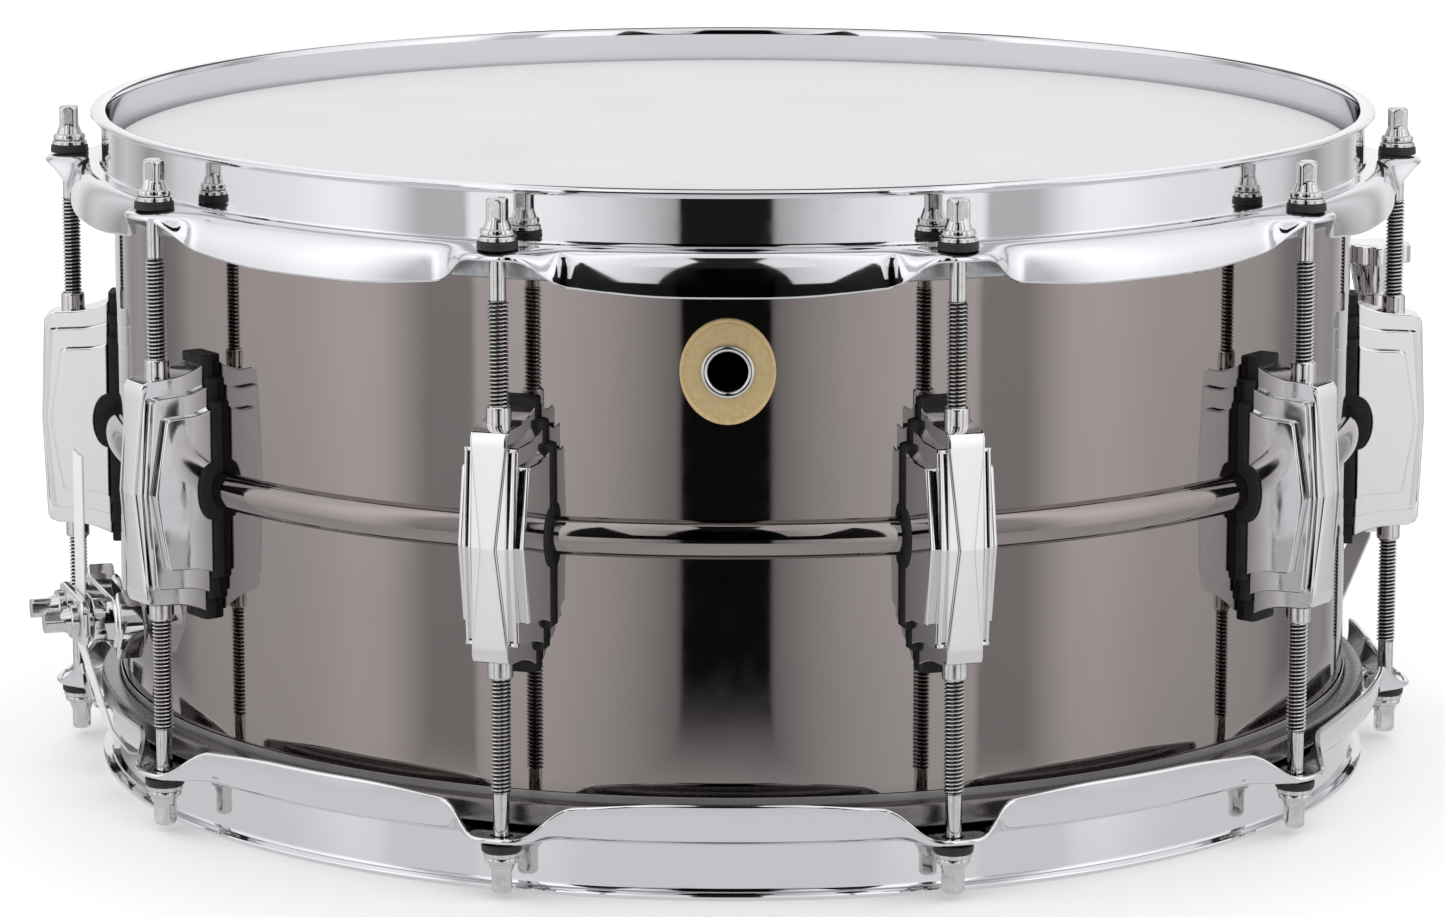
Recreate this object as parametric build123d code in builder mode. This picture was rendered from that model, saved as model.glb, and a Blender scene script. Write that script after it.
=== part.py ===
"""Snare drum, 14 x 6.5 inch: beaded metal shell, ten double-ended lugs, triple-flanged hoops.

Millimetres, +Z up. The origin is on the drum's axis in the plane of the lower hoop's rim,
which is what the drum stands on. The badge faces -Y. The butt plate is near -X and the
throw-off near +X, at opposite ends of the snares.
"""

from build123d import *
from math import cos, radians, sin
import os

os.makedirs("parts", exist_ok=True)

# ---- whole drum -------------------------------------------------------------------
DRUM_HEIGHT = 188.0
DRUM_MID = DRUM_HEIGHT / 2
LUG_COUNT = 10
LUG_STEP = 360 / LUG_COUNT
FRONT_ANGLE = -90.0
FIRST_LUG_ANGLE = FRONT_ANGLE + LUG_STEP / 2
THROW_OFF_ANGLE = 18.0
BUTT_ANGLE = THROW_OFF_ANGLE + 180
ROD_R = 191.5

# ---- shell ------------------------------------------------------------------------
SHELL_R = 177.8
SHELL_T = 1.2
SHELL_H = 165.1
SHELL_MID = 95.5
SHELL_TOP = SHELL_MID + SHELL_H / 2
SHELL_BOTTOM = SHELL_MID - SHELL_H / 2
BEAD_R = 181.6
BEAD_HALF = 5.2
EDGE_SLOPE = 2.5
EDGE_R = SHELL_R - EDGE_SLOPE
EDGE_RETURN = 4.0
VENT_Z = 140.0
VENT_BORE_R = 5.15

# ---- lugs -------------------------------------------------------------------------
GASKET_T = 3.0
LUG_BACK_R = SHELL_R + GASKET_T
# each tier: width, half height at its outer corner, half height at the shell,
# radius at its outer corners and radius at mid height
TIERS = [
    (10.2, 31.0, 34.2, 199.4, 201.0),
    (14.6, 26.2, 28.4, 197.8, 200.0),
    (19.0, 20.8, 22.6, 194.0, 197.5),
]
TIER_CORNER = 2.4
WAIST = 4.8
GASKET_EDGE = 0.7
GASKET_HALVES = (36.6, 30.6, 24.4)
LUG_SCREW_Z = 19.0
LUG_SCREW_R = 2.0
NUT_R = 3.4
NUT_COLLAR_R = 4.0
NUT_TOP = 36.1
NUT_BOTTOM = 18.0
CAVITY_HALF_WIDTH = 4.2
CAVITY_TOP = 28.0
CAVITY_FRONT = 195.6
CAVITY_BACK = 187.0

# ---- hoops ------------------------------------------------------------------------
HOOP_T = 1.8
HOOP_WALL_R = 181.2
HOOP_INNER_R = HOOP_WALL_R - HOOP_T
RIM_R = 184.0
EAR_TOP = 172.0
EAR_R = 198.0
EAR_WIDTH = 19.0
EAR_HOLE_R = 3.25
SKIRT_R = 190.0
SKIRT_EDGE_Z = 161.5
GATE_HALF_WIDTH = 24.0
GATE_FLOOR_Z = 2.4

# ---- heads ------------------------------------------------------------------------
FILM_T = 0.25
FILM_GAP = 0.05
COLLAR_R = 178.1
FLESH_INNER_R = 178.45
FLESH_OUTER_R = 184.0
FLESH_TOP = 170.1
FLESH_BOTTOM = 163.4

# ---- tension rods -----------------------------------------------------------------
NYLON_T = 2.5
STEEL_T = 1.4
COLLAR_T = 1.55
HEAD_SIDE = 5.3
HEAD_TALL = 8.75
SHANK_R = 2.25
THREAD_R = 2.74
THREAD_START = 159.5
ROD_END = 116.0
NUT_BORE_R = THREAD_R + 0.06
NYLON_Z = EAR_TOP
STEEL_Z = NYLON_Z + NYLON_T
COLLAR_Z = STEEL_Z + STEEL_T
HEAD_Z = COLLAR_Z + COLLAR_T

# ---- snares and straps ------------------------------------------------------------
COIL_COUNT = 20
COIL_PITCH = 2.05
COIL_R = 0.95
COIL_Z = 11.35
COIL_HALF_LENGTH = 163.0
END_PLATE = (14.0, 44.0, 0.8)
END_PLATE_R = 156.0
STRAP_WIDTH = 12.0
STRAP_T = 0.8
STRAP_LOW_Z = 8.85
STRAP_END_R = 151.0

# ---- butt plate -------------------------------------------------------------------
BUTT_Z = 49.5
BUTT_FOOT_Y = 17.0
BUTT_KEY_Y = 9.6
BUTT_STRAP_R = 193.0
BUTT_STRAP_TOP = 95.5
KEY_SCREW_R = 2.0
KEY_HEAD_TALL = 7.6

# ---- throw-off --------------------------------------------------------------------
THROW_CLAMP_Z = 57.5
KNOB_R = 203.0
PIN_Z = 76.0
SLIDE_FRONT = 200.0
FRAME_FRONT = 204.2
THROW_STRAP_R = SLIDE_FRONT + STRAP_T / 2 + 0.02


def radial_plane(angle, r, z=0.0):
    """A plane facing outward at radius r: its x runs round the drum and its y runs up."""
    a = radians(angle)
    return Plane(
        origin=(r * cos(a), r * sin(a), z),
        x_dir=(-sin(a), cos(a), 0),
        z_dir=(cos(a), sin(a), 0),
    )


def side_plane(angle=0.0):
    """The plane through the drum's axis at an angle: its x is the radius, its y is Z."""
    a = radians(angle)
    return Plane(origin=(0, 0, 0), x_dir=(cos(a), sin(a), 0), z_dir=(sin(a), -cos(a), 0))


def turned(shape, angle):
    """A copy of a shape made at angle 0, turned about the drum's axis."""
    return shape.rotate(Axis.Z, angle)


def lug_angles():
    return [FIRST_LUG_ANGLE + LUG_STEP * i for i in range(LUG_COUNT)]


def save(shape, name):
    shape.label = name
    export_step(shape, f"parts/{name}.step")


def save_group(shapes, name):
    """Identical pieces that share a node, each its own solid."""
    save(Compound(children=list(shapes)), name)


def mirrored_down(shape):
    """The lower end's copy of an upper-end piece."""
    return shape.mirror(Plane.XY.offset(DRUM_MID))


# ---- shell, badge and vent --------------------------------------------------------
def bead_profile(wall_r, bead_r, half):
    """A wall line from below the drum to above it, with the round bead at mid height."""
    if bead_r == wall_r:
        Line((wall_r, -10), (wall_r, DRUM_HEIGHT + 10))
        return
    low = SHELL_MID - half
    high = SHELL_MID + half
    Line((wall_r, -10), (wall_r, low))
    ThreePointArc((wall_r, low), (bead_r, SHELL_MID), (wall_r, high))
    Line((wall_r, high), (wall_r, DRUM_HEIGHT + 10))


def wall_band(inner_r, inner_bead_r, outer_r, outer_bead_r, half_in, half_out):
    """A full-height ring between two beaded walls, used to cut and trim what sits on them."""
    with BuildPart() as band:
        with BuildSketch(Plane.XZ):
            with BuildLine():
                bead_profile(outer_r, outer_bead_r, half_out)
                bead_profile(inner_r, inner_bead_r, half_in)
                Line((inner_r, -10), (outer_r, -10))
                Line((inner_r, DRUM_HEIGHT + 10), (outer_r, DRUM_HEIGHT + 10))
            make_face()
        revolve(axis=Axis.Z)
    return band.part


def shell_end(z, way):
    """The turned-in bearing edge as (outside points, inside points); way is +1 at the top."""
    drop = SHELL_T * 1.4142
    outside = [
        (SHELL_R, z - way * EDGE_SLOPE),
        (EDGE_R, z),
        (EDGE_R - EDGE_RETURN, z - way * EDGE_RETURN),
    ]
    inside = [
        (EDGE_R - EDGE_RETURN + drop / 2, z - way * (EDGE_RETURN + drop / 2)),
        (EDGE_R, z - way * drop),
        (SHELL_R - SHELL_T, z - way * (drop + EDGE_SLOPE - SHELL_T)),
    ]
    return outside, inside


def make_shell():
    top_out, top_in = shell_end(SHELL_TOP, 1)
    low_out, low_in = shell_end(SHELL_BOTTOM, -1)
    inner_r = SHELL_R - SHELL_T
    low = SHELL_MID - BEAD_HALF
    high = SHELL_MID + BEAD_HALF
    with BuildPart() as shell:
        with BuildSketch(Plane.XZ):
            with BuildLine():
                Line(low_out[0], (SHELL_R, low))
                ThreePointArc((SHELL_R, low), (BEAD_R, SHELL_MID), (SHELL_R, high))
                Line((SHELL_R, high), top_out[0])
                Polyline(*top_out, *top_in)
                Line(top_in[-1], (inner_r, high))
                ThreePointArc((inner_r, high), (BEAD_R - SHELL_T, SHELL_MID), (inner_r, low))
                Line((inner_r, low), low_in[-1])
                Polyline(*reversed(low_in), *reversed(low_out))
            make_face()
        revolve(axis=Axis.Z)
        for angle in lug_angles():
            with BuildSketch(radial_plane(angle, SHELL_R - 8)):
                with Locations((0, SHELL_MID - LUG_SCREW_Z), (0, SHELL_MID + LUG_SCREW_Z)):
                    Circle(LUG_SCREW_R + 0.3)
            extrude(amount=12, mode=Mode.SUBTRACT)
        with BuildSketch(radial_plane(FRONT_ANGLE, SHELL_R - 8)):
            with Locations((0, VENT_Z)):
                Circle(VENT_BORE_R + 0.85)
        extrude(amount=12, mode=Mode.SUBTRACT)
        with BuildSketch(radial_plane(BUTT_ANGLE, SHELL_R - 8)):
            with Locations((-BUTT_FOOT_Y, BUTT_Z), (BUTT_FOOT_Y, BUTT_Z)):
                Circle(LUG_SCREW_R + 0.3)
        extrude(amount=12, mode=Mode.SUBTRACT)
        with BuildSketch(radial_plane(THROW_OFF_ANGLE, SHELL_R - 8)):
            with Locations(*[(0, z) for z in THROW_SCREW_Z]):
                Circle(LUG_SCREW_R + 0.3)
        extrude(amount=12, mode=Mode.SUBTRACT)
    save(shell.part, "shell")


BADGE_SIZE = (12.5, 14.0)
BADGE_T = 0.8


def make_badge_and_vent():
    with BuildPart() as ring:
        with BuildSketch(Plane.XY.offset(VENT_Z - 20)):
            Circle(SHELL_R + BADGE_T)
            Circle(SHELL_R, mode=Mode.SUBTRACT)
        extrude(amount=40)
    with BuildPart() as badge:
        with BuildSketch(radial_plane(FRONT_ANGLE, SHELL_R - 6)):
            with Locations((0, VENT_Z)):
                Ellipse(*BADGE_SIZE)
                Circle(VENT_BORE_R + 0.85, mode=Mode.SUBTRACT)
        extrude(amount=10)
        add(ring.part, mode=Mode.INTERSECT)
    save(badge.part, "badge")

    outer = SHELL_R + BADGE_T + 0.05
    inner = SHELL_R - SHELL_T - 0.35
    barrel_r = VENT_BORE_R + 0.7
    flange_r = VENT_BORE_R + 1.9
    with BuildPart() as grommet:
        with BuildSketch(Plane.XZ):
            with BuildLine():
                Polyline((VENT_BORE_R, inner - 0.8), (flange_r, inner - 0.8), (flange_r, inner))
                Polyline((flange_r, inner), (barrel_r, inner), (barrel_r, outer), (flange_r, outer))
                ThreePointArc((flange_r, outer), (flange_r - 0.9, outer + 0.9), (VENT_BORE_R, outer + 0.3))
                Line((VENT_BORE_R, outer + 0.3), (VENT_BORE_R, inner - 0.8))
            make_face()
        revolve(axis=Axis.Z)
    lying = grommet.part.rotate(Axis.X, 90)
    save(lying.moved(Location((0, 0, VENT_Z))), "vent_grommet")


# ---- lugs -------------------------------------------------------------------------
def tier_outline(half_outer, half_inner, r_corner, r_mid):
    """A tier's side outline: straight outer edges that meet at mid height, hollow ends."""
    back = LUG_BACK_R - 4
    knee = r_corner - 7
    with BuildLine() as path:
        Polyline(
            (knee, half_outer + 0.3),
            (r_corner, half_outer),
            (r_mid, 0),
            (r_corner, -half_outer),
            (knee, -half_outer - 0.3),
        )
        ThreePointArc(
            (knee, -half_outer - 0.3),
            ((knee + LUG_BACK_R) / 2, -half_outer * 0.7 - half_inner * 0.3),
            (LUG_BACK_R, -half_inner),
        )
        Polyline((LUG_BACK_R, -half_inner), (back, -half_inner), (back, half_inner), (LUG_BACK_R, half_inner))
        ThreePointArc(
            (LUG_BACK_R, half_inner),
            ((knee + LUG_BACK_R) / 2, half_outer * 0.7 + half_inner * 0.3),
            (knee, half_outer + 0.3),
        )
    make_face(path.edges())


def make_lug():
    """One casing at angle 0, centred on z = 0."""
    plane = side_plane()
    with BuildPart() as lug:
        for index, (width, half_outer, half_inner, r_corner, r_mid) in enumerate(TIERS):
            with BuildSketch(plane) as outline:
                tier_outline(half_outer, half_inner, r_corner, r_mid)
                fillet(outline.vertices().sort_by(Axis.X)[-3:-1], TIER_CORNER)
            extrude(amount=width / 2, both=True)
            if index == 0:
                for side in (-1, 1):
                    edge = side * (width / 2 + 1)
                    with BuildSketch(radial_plane(0, TIERS[1][3] - 6)):
                        with BuildLine():
                            Polyline(
                                (side * width / 2, half_outer - 3),
                                (side * WAIST / 2, 0),
                                (side * width / 2, 3 - half_outer),
                                (edge, 3 - half_outer),
                                (edge, half_outer - 3),
                                close=True,
                            )
                        make_face()
                    extrude(amount=20, mode=Mode.SUBTRACT)
        # the inside: a slot for the nuts and their spacer, and a pocket behind it at mid height
        with BuildSketch(plane):
            with BuildLine():
                Polyline(
                    (CAVITY_BACK, -CAVITY_TOP),
                    (CAVITY_FRONT, -CAVITY_TOP),
                    (CAVITY_FRONT, CAVITY_TOP),
                    (CAVITY_BACK, CAVITY_TOP),
                    close=True,
                )
            make_face()
            with Locations(((CAVITY_BACK + LUG_BACK_R) / 2 - 1, 0)):
                Rectangle(CAVITY_BACK - LUG_BACK_R + 4, 24)
        extrude(amount=CAVITY_HALF_WIDTH, both=True, mode=Mode.SUBTRACT)
        with BuildSketch(Plane.XY.offset(-NUT_TOP - 4)):
            with Locations((ROD_R, 0)):
                Circle(NUT_R + 0.2)
        extrude(amount=2 * (NUT_TOP + 4), mode=Mode.SUBTRACT)
        with BuildSketch(radial_plane(0, LUG_BACK_R - 2)):
            with Locations((0, -LUG_SCREW_Z), (0, LUG_SCREW_Z)):
                Circle(LUG_SCREW_R + 0.02)
        extrude(amount=CAVITY_BACK - LUG_BACK_R + 3, mode=Mode.SUBTRACT)
    raised = lug.part.moved(Location((0, 0, SHELL_MID)))
    shell_and_gasket = wall_band(
        150, 150, LUG_BACK_R + 0.03, BEAD_R + GASKET_T + 0.03, BEAD_HALF, BEAD_HALF + 2.43
    )
    return (raised - shell_and_gasket).solids().sort_by(SortBy.VOLUME)[-1]


def make_gasket():
    """One gasket at angle 0: the casing's stepped back outline with a small margin."""
    with BuildPart() as gasket:
        for (width, *_), half in zip(TIERS, GASKET_HALVES):
            with BuildSketch(radial_plane(0, SHELL_R - 3, SHELL_MID)):
                Rectangle(width + 2 * GASKET_EDGE, 2 * half)
            extrude(amount=14)
        with BuildSketch(radial_plane(0, SHELL_R - 3, SHELL_MID)):
            with Locations((0, -LUG_SCREW_Z), (0, LUG_SCREW_Z)):
                Circle(LUG_SCREW_R + 0.3)
        extrude(amount=14, mode=Mode.SUBTRACT)
    band = wall_band(
        SHELL_R + 0.02, BEAD_R + 0.02, LUG_BACK_R, BEAD_R + GASKET_T, BEAD_HALF + 0.02, BEAD_HALF + 2.4
    )
    return (gasket.part & band).solids().sort_by(SortBy.VOLUME)[-1]


def make_swivel_nut():
    """The upper nut of the lug at angle 0."""
    with BuildPart() as nut:
        with BuildSketch(Plane.XY.offset(SHELL_MID + NUT_BOTTOM)):
            with Locations((ROD_R, 0)):
                Circle(NUT_R)
        extrude(amount=NUT_TOP - NUT_BOTTOM)
        chamfer(nut.edges().filter_by(GeomType.CIRCLE).sort_by(Axis.Z)[-1], 0.5)
        with BuildSketch(Plane.XY.offset(SHELL_MID + CAVITY_TOP - 3.2)):
            with Locations((ROD_R, 0)):
                Circle(NUT_COLLAR_R)
        extrude(amount=3.0)
        with BuildSketch(Plane.XY.offset(SHELL_MID + NUT_BOTTOM)):
            with Locations((ROD_R, 0)):
                Circle(NUT_BORE_R)
        extrude(amount=NUT_TOP, mode=Mode.SUBTRACT)
    return nut.part


def make_nut_spacer():
    with BuildPart() as spacer:
        with BuildSketch(Plane.XY.offset(SHELL_MID - NUT_BOTTOM)):
            with Locations((ROD_R, 0)):
                Circle(3.1)
                Circle(2.0, mode=Mode.SUBTRACT)
        extrude(amount=2 * NUT_BOTTOM)
    return spacer.part


def make_shell_screw(angle, z, across=0.0, tip_r=186.0):
    """A pan-head screw from inside the shell, and its washer: (screw, washer)."""
    seat = ((SHELL_R - SHELL_T) ** 2 - (5.0 + abs(across)) ** 2) ** 0.5 - 0.1
    with BuildPart() as washer:
        with BuildSketch(radial_plane(angle, seat - 1.0)):
            with Locations((across, z)):
                Circle(5.0)
                Circle(LUG_SCREW_R + 0.2, mode=Mode.SUBTRACT)
        extrude(amount=1.0)
    with BuildPart() as screw:
        with BuildSketch(radial_plane(angle, seat - 1.0)):
            with Locations((across, z)):
                Circle(LUG_SCREW_R)
        extrude(amount=tip_r - seat + 1.0)
        with BuildSketch(radial_plane(angle, seat - 3.8)):
            with Locations((across, z)):
                Circle(4.0)
        extrude(amount=2.8)
        with BuildSketch(radial_plane(angle, seat - 3.8)):
            with Locations((across, z)):
                Rectangle(4.6, 1.0)
                Rectangle(1.0, 4.6)
        extrude(amount=1.6, mode=Mode.SUBTRACT)
    return screw.part, washer.part


def make_lugs():
    casing = make_lug()
    for index, angle in enumerate(lug_angles(), start=1):
        save(turned(casing, angle), f"lug_casing_{index:02d}")
    gasket = make_gasket()
    save_group([turned(gasket, a) for a in lug_angles()], "lug_gaskets")
    upper = make_swivel_nut()
    lower = upper.mirror(Plane.XY.offset(SHELL_MID))
    save_group([turned(n, a) for a in lug_angles() for n in (upper, lower)], "swivel_nuts")
    spacer = make_nut_spacer()
    save_group([turned(spacer, a) for a in lug_angles()], "nut_spacers")
    heights = (SHELL_MID - LUG_SCREW_Z, SHELL_MID + LUG_SCREW_Z)
    pairs = [make_shell_screw(0, z) for z in heights]
    pieces = [turned(p, a) for a in lug_angles() for pair in pairs for p in pair]
    save_group(pieces, "lug_screws_and_washers")


# ---- heads ------------------------------------------------------------------------
def make_film(edge_z):
    """A drumhead film over the upper bearing edge, with its collar down to the flesh hoop."""
    under = edge_z + FILM_GAP
    over = under + FILM_T
    shoulder_z = under - EDGE_SLOPE + 0.2
    low = FLESH_BOTTOM + 1.0
    with BuildPart() as film:
        with BuildSketch(Plane.XZ):
            with BuildLine():
                Polyline(
                    (0, under),
                    (EDGE_R + 0.1, under),
                    (COLLAR_R, shoulder_z),
                    (COLLAR_R, low),
                    (COLLAR_R + FILM_T, low),
                    (COLLAR_R + FILM_T, shoulder_z + 0.15),
                    (EDGE_R + 0.2, over),
                    (0, over),
                    close=True,
                )
            make_face()
        revolve(axis=Axis.Z)
    return film.part


def make_flesh_hoop():
    with BuildPart() as ring:
        with BuildSketch(Plane.XZ) as section:
            with Locations(((FLESH_INNER_R + FLESH_OUTER_R) / 2, (FLESH_TOP + FLESH_BOTTOM) / 2)):
                Rectangle(FLESH_OUTER_R - FLESH_INNER_R, FLESH_TOP - FLESH_BOTTOM)
            fillet(section.vertices(), 0.8)
        revolve(axis=Axis.Z)
    return ring.part


def make_heads():
    save(make_film(SHELL_TOP), "batter_film")
    save(mirrored_down(make_film(DRUM_HEIGHT - SHELL_BOTTOM)), "snare_side_film")
    ring = make_flesh_hoop()
    save(ring, "batter_flesh_hoop")
    save(mirrored_down(ring), "snare_side_flesh_hoop")


# ---- hoops ------------------------------------------------------------------------
def hoop_section():
    """Rim flange, wall, step and skirt of the upper hoop, in radius and height."""
    step = EAR_TOP - HOOP_T
    top = DRUM_HEIGHT
    with BuildLine() as path:
        Polyline(
            (HOOP_INNER_R, step),
            (HOOP_INNER_R, top - 1.0),
            (HOOP_INNER_R + 1.0, top),
            (RIM_R - 0.6, top),
            (RIM_R, top - 0.6),
            (RIM_R, top - HOOP_T),
            (HOOP_WALL_R + 0.8, top - HOOP_T),
            (HOOP_WALL_R, top - HOOP_T - 0.8),
            (HOOP_WALL_R, EAR_TOP + 0.8),
            (HOOP_WALL_R + 0.8, EAR_TOP),
            (185.4, EAR_TOP),
        )
        ThreePointArc((185.4, EAR_TOP), (188.8, 168.2), (SKIRT_R, SKIRT_EDGE_Z))
        Line((SKIRT_R, SKIRT_EDGE_Z), (SKIRT_R - HOOP_T, SKIRT_EDGE_Z))
        ThreePointArc((SKIRT_R - HOOP_T, SKIRT_EDGE_Z), (187.2, 166.9), (184.4, step))
        Line((184.4, step), (HOOP_INNER_R, step))
    make_face(path.edges())


def make_hoop():
    """The upper hoop: flat ears at the rods, with the skirt cut away beside them."""
    step = EAR_TOP - HOOP_T
    with BuildPart() as hoop:
        with BuildSketch(Plane.XZ):
            hoop_section()
        revolve(axis=Axis.Z)
        for angle in lug_angles():
            with BuildSketch(radial_plane(angle, FLESH_OUTER_R + 0.3)):
                with BuildLine():
                    Polyline(
                        (-EAR_WIDTH / 2, step),
                        (-EAR_WIDTH / 2 - 5, SKIRT_EDGE_Z - 1),
                        (EAR_WIDTH / 2 + 5, SKIRT_EDGE_Z - 1),
                        (EAR_WIDTH / 2, step),
                        close=True,
                    )
                make_face()
            extrude(amount=16, mode=Mode.SUBTRACT)
            with BuildSketch(radial_plane(angle, FLESH_OUTER_R + 0.3)):
                with Locations((0, EAR_TOP + 1)):
                    Rectangle(EAR_WIDTH, 2)
            extrude(amount=16, mode=Mode.SUBTRACT)
        with BuildSketch(Plane.XY.offset(step)):
            with PolarLocations(0, LUG_COUNT, start_angle=FIRST_LUG_ANGLE):
                with Locations(((EAR_R + HOOP_WALL_R) / 2, 0)):
                    RectangleRounded(EAR_R - HOOP_WALL_R + 2, EAR_WIDTH, 3.5)
        extrude(amount=HOOP_T)
        with BuildSketch(Plane.XY.offset(step - 2)):
            with PolarLocations(ROD_R, LUG_COUNT, start_angle=FIRST_LUG_ANGLE):
                Circle(EAR_HOLE_R)
        extrude(amount=HOOP_T + 4, mode=Mode.SUBTRACT)
        with BuildSketch(Plane.XY.offset(step - 2)):
            Circle(HOOP_INNER_R)
        extrude(amount=6, mode=Mode.SUBTRACT)
    return hoop.part


def make_hoops():
    upper = make_hoop()
    save(upper, "batter_hoop")
    with BuildPart() as lower:
        add(mirrored_down(upper))
        for angle in (THROW_OFF_ANGLE, BUTT_ANGLE):
            with BuildSketch(radial_plane(angle, HOOP_INNER_R - 8)):
                with BuildLine():
                    Polyline(
                        (-GATE_HALF_WIDTH, GATE_FLOOR_Z),
                        (GATE_HALF_WIDTH, GATE_FLOOR_Z),
                        (GATE_HALF_WIDTH, 18),
                        (GATE_HALF_WIDTH - 4, 30),
                        (4 - GATE_HALF_WIDTH, 30),
                        (-GATE_HALF_WIDTH, 18),
                        close=True,
                    )
                make_face()
            extrude(amount=30, mode=Mode.SUBTRACT)
    save(lower.part, "snare_side_hoop")


# ---- tension rods -----------------------------------------------------------------
def make_rod():
    """The upper rod at angle 0: key head and collar, plain shank, thread."""
    with BuildPart() as rod:
        with BuildSketch(Plane.XY.offset(ROD_END)):
            with Locations((ROD_R, 0)):
                Circle(THREAD_R)
        extrude(amount=THREAD_START - ROD_END)
        chamfer(rod.edges().filter_by(GeomType.CIRCLE).sort_by(Axis.Z)[0], 0.5)
        with BuildSketch(Plane.XY.offset(THREAD_START)):
            with Locations((ROD_R, 0)):
                Circle(SHANK_R)
        extrude(amount=COLLAR_Z - THREAD_START)
        with BuildSketch(Plane.XY.offset(COLLAR_Z)):
            with Locations((ROD_R, 0)):
                Circle(4.6)
        extrude(amount=COLLAR_T)
        with BuildSketch(Plane.XY.offset(HEAD_Z)):
            with Locations((ROD_R, 0)):
                Circle(3.7)
        extrude(amount=1.8, taper=20)
        with BuildSketch(Plane.XY.offset(HEAD_Z)):
            with Locations((ROD_R, 0)):
                RectangleRounded(HEAD_SIDE, HEAD_SIDE, 1.0)
        extrude(amount=HEAD_TALL)
        chamfer(rod.faces().sort_by(Axis.Z)[-1].edges(), 0.6)
    return rod.part


def make_rod_washer(z, thick, outer_r, hole_r):
    with BuildPart() as washer:
        with BuildSketch(Plane.XY.offset(z)):
            with Locations((ROD_R, 0)):
                Circle(outer_r)
                Circle(hole_r, mode=Mode.SUBTRACT)
        extrude(amount=thick)
    return washer.part


def make_rods():
    upper = make_rod()
    lower = mirrored_down(upper)
    for index, angle in enumerate(lug_angles(), start=1):
        save(turned(upper, angle), f"top_rod_{index:02d}")
        save(turned(lower, angle), f"bottom_rod_{index:02d}")
    steel = make_rod_washer(STEEL_Z, STEEL_T, 5.1, 2.6)
    nylon = make_rod_washer(NYLON_Z, NYLON_T, 5.5, 2.6)
    for washer, name in ((steel, "rod_steel_washers"), (nylon, "rod_nylon_washers")):
        pair = (washer, mirrored_down(washer))
        save_group([turned(w, a) for a in lug_angles() for w in pair], name)


# ---- straps and snares ------------------------------------------------------------
def make_strap(angle, outer_r, top_z, clamp_z):
    """A flat strap: down from its free end, in through the gate and under the head."""
    half = STRAP_T / 2
    turn_z = clamp_z - 9
    with BuildPart() as strap:
        with BuildSketch(side_plane(angle)):
            with BuildLine() as route:
                FilletPolyline(
                    (outer_r, top_z),
                    (outer_r, turn_z),
                    (186.0, 16.5),
                    (181.0, STRAP_LOW_Z),
                    (STRAP_END_R, STRAP_LOW_Z),
                    radius=4,
                )
            trace(route.line, line_width=2 * half)
        extrude(amount=STRAP_WIDTH / 2, both=True)
    return strap.part


def make_snares():
    bed = Plane(origin=(0, 0, 0), x_dir=Plane.XY.rotated((0, 0, THROW_OFF_ANGLE)).x_dir)
    with BuildPart() as coils:
        with BuildSketch(radial_plane(THROW_OFF_ANGLE, -COIL_HALF_LENGTH)):
            first = -COIL_PITCH * (COIL_COUNT - 1) / 2
            with Locations(*[(first + COIL_PITCH * i, COIL_Z) for i in range(COIL_COUNT)]):
                Circle(COIL_R)
        extrude(amount=2 * COIL_HALF_LENGTH)
    save(coils.part, "snare_coils")
    length, width, thick = END_PLATE
    plate_z = COIL_Z - COIL_R - 0.05 - thick
    plates = []
    for side in (-1, 1):
        with BuildPart() as plate:
            with BuildSketch(bed.offset(plate_z)):
                with Locations((side * END_PLATE_R, 0)):
                    RectangleRounded(length, width, 2.0)
            extrude(amount=thick)
        plates.append(plate.part)
    save_group(plates, "snare_end_plates")


# ---- key-head clamp screws --------------------------------------------------------
def make_key_screw(angle, across, z, collar_r, tip_r):
    """A square-headed clamp screw that points inward, with a round collar."""
    with BuildPart() as screw:
        with BuildSketch(radial_plane(angle, tip_r)):
            with Locations((across, z)):
                Circle(KEY_SCREW_R)
        extrude(amount=collar_r - tip_r)
        with BuildSketch(radial_plane(angle, collar_r)):
            with Locations((across, z)):
                Circle(4.9)
        extrude(amount=2.2)
        with BuildSketch(radial_plane(angle, collar_r + 2.2)):
            with Locations((across, z)):
                RectangleRounded(HEAD_SIDE, HEAD_SIDE, 1.0)
        extrude(amount=KEY_HEAD_TALL)
        far = screw.faces().filter_by(radial_plane(angle, 0)).sort_by(
            Axis((0, 0, 0), radial_plane(angle, 0).z_dir)
        )[-1]
        chamfer(far.edges(), 0.8)
    return screw.part


def make_clamp_plate(angle, r, thick, z, size, key_y):
    with BuildPart() as plate:
        with BuildSketch(radial_plane(angle, r)):
            with Locations((0, z)):
                RectangleRounded(*size, 4.0)
            with Locations((-key_y, z), (key_y, z)):
                Circle(KEY_SCREW_R + 0.3, mode=Mode.SUBTRACT)
        extrude(amount=thick)
    return plate.part


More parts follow.
